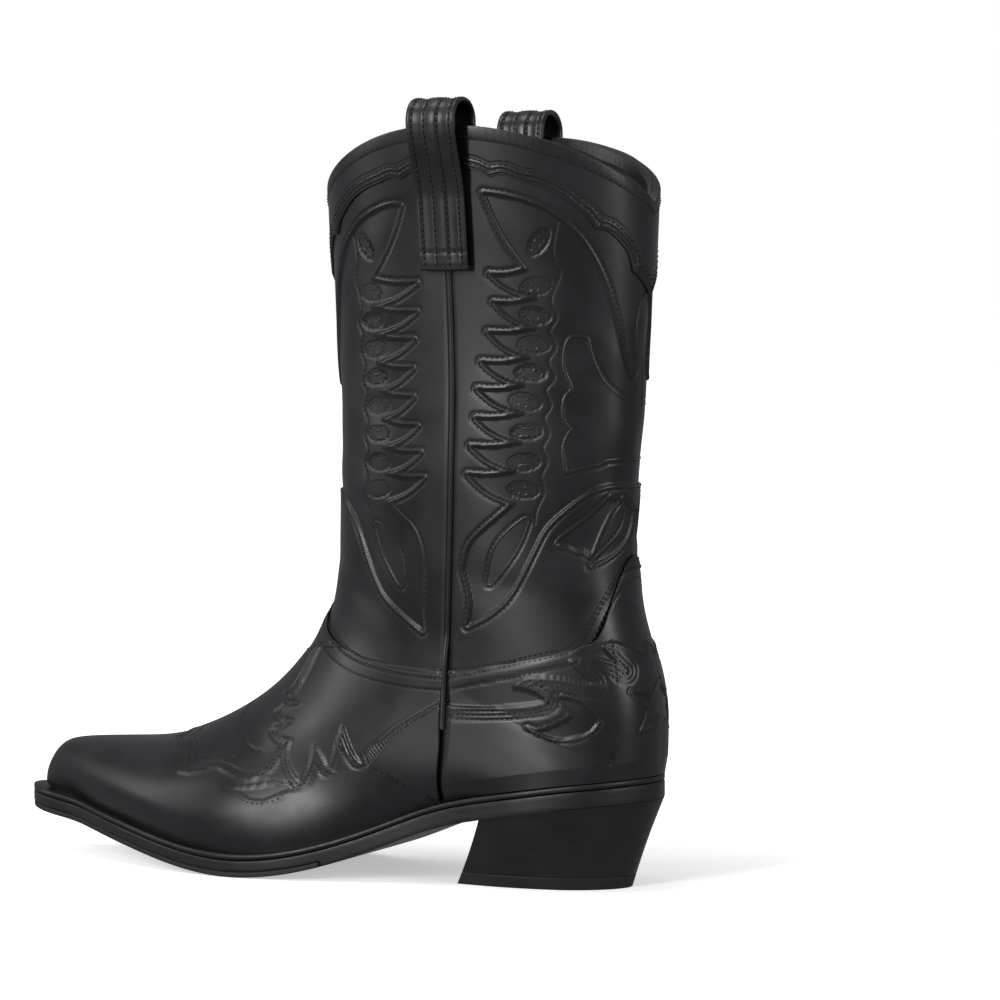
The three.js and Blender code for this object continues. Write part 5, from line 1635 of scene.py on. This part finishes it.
def plain_finish(name, low, high, size, rough, bump=.25, depth=.3, **values):
    """A surface of one substance: two close colours in patches and a fine tooth."""
    material, tree, shader, where = finish(name, **values)
    patches, tooth = mottled(tree, where, size), mottled(tree, where, size / 8, 6)
    tree.links.new(blend_colours(tree, patches, low, high), shader.inputs["Base Color"])
    tree.links.new(spread_value(tree, patches, *rough), shader.inputs["Roughness"])
    bumped(tree, shader, (tooth, bump, depth))
    return material


CALF, THREAD, EDGE, SOLE = calf_black(), thread_black(), dressed_edge(), dressed_sole()
# inside leather: the black pigskin of the shaft's mouth, matt with open pores
LINING = plain_finish("lining pigskin, black, plated", "#151315", "#211f20", 6, (.5, .62), IOR=1.48)
# moulded rubber is the dullest black here, with a faint bloom
RUBBER_SOLE = plain_finish("nitrile rubber, moulded", "#0e0e0e", "#191919", 10, (.55, .7), IOR=1.52)
BOARD = plain_finish("leatherboard, pressed fibre", "#8e7d63", "#a89777", 3, (.75, .85), IOR=1.5)
INSOLE = plain_finish("insole leather, vegetable tanned", "#a9794c", "#c39262", 12, (.5, .62), IOR=1.5)
CORK = plain_finish("ground cork in binder", "#6e4a2c", "#a87a4c", 2.2, (.8, .9), .5, .5, IOR=1.45)
STEEL = plain_finish("spring steel, blued and oiled", "#5c6068", "#74787f", 8, (.28, .4), .1, .05,
                     Metallic=1.0)

FINISH_OF_SLOT = {"black_calf": CALF, "lining_leather": LINING, "stiffener_board": BOARD,
                  "sole_leather": EDGE, "insole_leather": INSOLE, "cork": CORK, "rubber": RUBBER_SOLE,
                  "steel": STEEL}


def dress(piece, slot, nodes=(), material=None):
    """Gives a piece its finish, chosen by slot unless one is given, puts it under its body and hides the
    solids it stands for.
    """
    piece.data.materials.append(material or FINISH_OF_SLOT[slot])
    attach(piece, "root")
    if nodes:
        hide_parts(*nodes)
    return piece


# ---- the boot, piece by piece ---------------------------------------------------------------
for where in ("front", "back"):
    panel_nodes = [f"{where}_shaft", f"wing_{where}_outer", f"wing_{where}_inner"]
    dress(shaft_panel(where), "black_calf", panel_nodes)
    dress(collar_leather(where), "black_calf", [f"collar_{where}"])
    dress(top_binding(where), "black_calf", [f"top_binding_{where}"])
vamp, vamp_points = vamp_leather()
dress(vamp, "black_calf", ["vamp"])
dress(counter_leather(), "black_calf", ["counter_cover"])
dress(front_lining(), "lining_leather", ["front_lining"])
dress(back_lining(), "lining_leather", ["back_lining"])
for side, word in ((-1, "outer"), (1, "inner")):
    dress(side_piping(side), "black_calf", [f"side_piping_{word}"])
    strap, strap_thread = pull_strap(side)
    dress(strap, "black_calf", [f"pull_strap_{word}"])
    dress(strap_thread, "black_calf", material=THREAD)

COLLAR_SIT = TRIM_OUT - 0.15
for where in ("front", "back"):
    seams = []
    for side in SIDES:
        seams.append((on_shaft(side, where), shaft_rows(where)))
        above = [inset(collar_edge, EDGE_ROW), inset(collar_edge, EDGE_ROW + PAIR)]
        seams.append((on_shaft(side, where, COLLAR_SIT - .12, relief=False), above))
        top_rows = edge_rows(where, top_line, side, [BINDING - 1.4])
        seams.append((on_shaft(side, where, TRIM_OUT + .02, relief=False, top=1), top_rows))
    dress(sew(f"{where}_shaft_stitching", seams), "black_calf", material=THREAD)

seams = []
for side in SIDES:
    seams.append((on_counter(side), edge_rows("back", counter_line, side, TOP_ROWS)))
    flourish_rows = [outward_row(UNCOVERED[side], row) for row in FLAME_ROWS]
    flourish_rows.append(outward_row(heel_leaf, LEAF_ROW))
    star_row = outward_row(heel_star, LEAF_ROW)
    flourish_rows += [from_middle(side, r) for r in runs_of(star_row[star_row[:, 0] > .4])]
    seams.append((on_counter(side), flourish_rows))
dress(sew("counter_stitching", seams), "black_calf", material=THREAD)

def cap_rows():
    """Rows inside the toe cap, but for its back edge, whose rows belong to the instep."""
    rows = []
    for r in VAMP_ROWS:
        row = outward_row(toe_cap, -r)
        rows += runs_of(row[distance_to(row, cap_back, reach=8) > r + 1])
    return rows


seams = []
for side in SIDES:
    place = on_vamp(side, vamp_points)
    rows = [outward_row(instep, r) for r in VAMP_ROWS] + cap_rows()
    rows += [outward_row(vamp_leaf, LEAF_ROW)] + [smooth_line(a) for a in TOE_ARCS]
    seams.append((place, rows))
    seams.append((on_vamp_top(side), edge_rows("front", vamp_line, side, TOP_ROWS)))
dress(sew("vamp_stitching", seams), "black_calf", material=THREAD)

dress(welt_strip(), "sole_leather", ["welt"])


def outsole_low(x):
    """The outsole is thinner in front, where the half sole lies under it."""
    thinner = ramp(-x, -RUBBER_FROM, 1.1 - RUBBER_FROM)
    return feather_height(x) - float(lerp(OUTSOLE_LOW, HALF_SOLE_TOP - .1, thinner))


outsole = sole_layer("outsole_leather", whole_sole(4.6), reach_at, lambda x: feather_height(x) - WELT - .12,
                     outsole_low)
dress(outsole, "sole_leather", ["outsole"], SOLE)
half_sole = sole_layer("half_sole_rubber", side_shares(RUBBER_FROM - 2.2, 1, 4.4, 90),
                       lambda s: reach_at(s) - .2, lambda x: feather_height(x) - HALF_SOLE_TOP,
                       lambda x: feather_height(x) - OUTSOLE_LOW, .5)
dress(half_sole, "rubber", ["half_sole"])
flat_top = under_sole(BREAST_TOP) - GAP - 2.4
lift_thick = (flat_top - TOP_LIFT) / 4
top_lift = heel_layer("top_lift_rubber", lambda h: 0.0, lambda h: TOP_LIFT, .5)
dress(top_lift, "rubber", ["rubber_top_lift"])
for k in range(4):
    low = TOP_LIFT + k * lift_thick + (.14 if k == 0 else 0)
    top = TOP_LIFT + (k + 1) * lift_thick
    dress(heel_layer(f"heel_lift_{k + 1}_leather", lambda h, z=low: z, lambda h, z=top: z, .03),
          "sole_leather", [f"heel_lift_{k + 1}"])
for k in range(2):
    dress(heel_layer(f"heel_wedge_{k + 1}_leather", lambda h, n=k: lerp(flat_top, h, n / 2),
                     lambda h, n=k: lerp(flat_top, h + GAP * n, (n + 1) / 2), .03),
          "sole_leather", [f"heel_wedge_{k + 1}"])

HIDDEN = {"heel_stiffener": BOARD, "toe_puff": BOARD, "insole": INSOLE, "sock_lining": LINING,
          "cork_filler": CORK, "steel_shank": STEEL}
HIDDEN.update({f"heel_nail_{k}": STEEL for k in range(1, 6)})
for name, material in HIDDEN.items():
    inside = frame["nodes"][name]
    inside.data.materials.clear()
    inside.data.materials.append(material)

# ---- floor, light and camera ----------------------------------------------------------------
floor_mesh = bpy.data.meshes.new("studio_floor")
FLOOR = 40.0
corners = [(x * FLOOR, y * FLOOR, 0) for x, y in ((-1, -1), (1, -1), (1, 1), (-1, 1))]
floor_mesh.from_pydata(corners, [], [(0, 1, 2, 3)])
floor = bpy.data.objects.new("studio_floor", floor_mesh)
bpy.context.scene.collection.objects.link(floor)
paper, paper_tree, paper_shader, paper_where = finish("white seamless paper, matt, glowing with painted light", IOR=1.4,
                                                      Specular__IOR__Level=.1)
paper_white = blend_colours(paper_tree, mottled(paper_tree, paper_where, 400), "#fbfbfb", "#ffffff")
paper_tree.links.new(paper_white, paper_shader.inputs["Base Color"])
paper_shader.inputs["Roughness"].default_value = .9
paper_shader.inputs["Emission Color"].default_value = colour("#ffffff")
# the paper glows with painted light on top of what the lamps give it: least under the boot, so that its
# shadow shows, and full white from about half a metre out
reach = node(paper_tree, "ShaderNodeVectorMath", [(paper_where, 0)], operation="LENGTH").outputs["Value"]
painted_floor_glow = spread_value(paper_tree, reach, .45, 1.0, .12, .55)
paper_tree.links.new(painted_floor_glow, paper_shader.inputs["Emission Strength"])
floor.visible_diffuse = floor.visible_glossy = False
floor.data.materials.append(paper)

world = bpy.data.worlds.new("white studio")
world.use_nodes = True
# the studio is dark apart from its lamps; only the paper behind the boot is lit to white
sky = world.node_tree
backdrop = sky.nodes["Background"]
backdrop.inputs["Color"].default_value = colour("#ffffff")
backdrop.inputs["Strength"].default_value = 1.0
room = node(sky, "ShaderNodeBackground", Color=colour("#eef0f4"), Strength=.3)
seen = node(sky, "ShaderNodeLightPath").outputs["Is Camera Ray"]
both = node(sky, "ShaderNodeMixShader", [(seen, 0), (room.outputs[0], 1), (backdrop.outputs[0], 2)])
sky.links.new(both.outputs[0], sky.nodes["World Output"].inputs["Surface"])
bpy.context.scene.world = world
bpy.context.scene.view_settings.view_transform = "Standard"


def softbox(name, place, aim, size, power):
    light = bpy.data.lights.new(name, "AREA")
    light.shape, light.size, light.size_y, light.energy = "RECTANGLE", size[0], size[1], power
    lamp = bpy.data.objects.new(name, light)
    bpy.context.scene.collection.objects.link(lamp)
    lamp.location = place
    lamp.rotation_euler = (Vector(aim) - Vector(place)).to_track_quat("-Z", "Y").to_euler()
    return lamp


softbox("front_left_softbox", (-1.7, -.8, .8), (-.05, 0, .15), (.4, 1.3), 7)
softbox("front_softbox", (-.45, -1.9, .8), (0, 0, .15), (.22, 1.3), 24)
softbox("right_softbox", (1.5, -.5, .7), (0, 0, .15), (.35, 1.1), 8)
softbox("top_softbox", (-.3, -.2, 1.8), (-.1, 0, 0), (.8, .8), 9)

AZIMUTH, PITCH = math.radians(25), math.radians(2.44)
DISTANCE, HEIGHT, ASIDE = 1.55, .235, -.0233                # metres
SENSOR = 36
right = Vector((math.cos(AZIMUTH), math.sin(AZIMUTH), 0))
flat = Vector((-math.sin(AZIMUTH), math.cos(AZIMUTH), 0))
forward = flat * math.cos(PITCH) - Vector((0, 0, 1)) * math.sin(PITCH)
up = right.cross(forward)
camera = bpy.data.objects.new("camera", bpy.data.cameras.new("camera"))
camera.data.lens, camera.data.sensor_width = 3.523 * SENSOR, SENSOR
camera.matrix_world = Matrix((right, up, -forward)).transposed().to_4x4()
camera.location = -flat * DISTANCE + right * ASIDE + Vector((0, 0, HEIGHT))
bpy.context.scene.collection.objects.link(camera)
bpy.context.scene.camera = camera
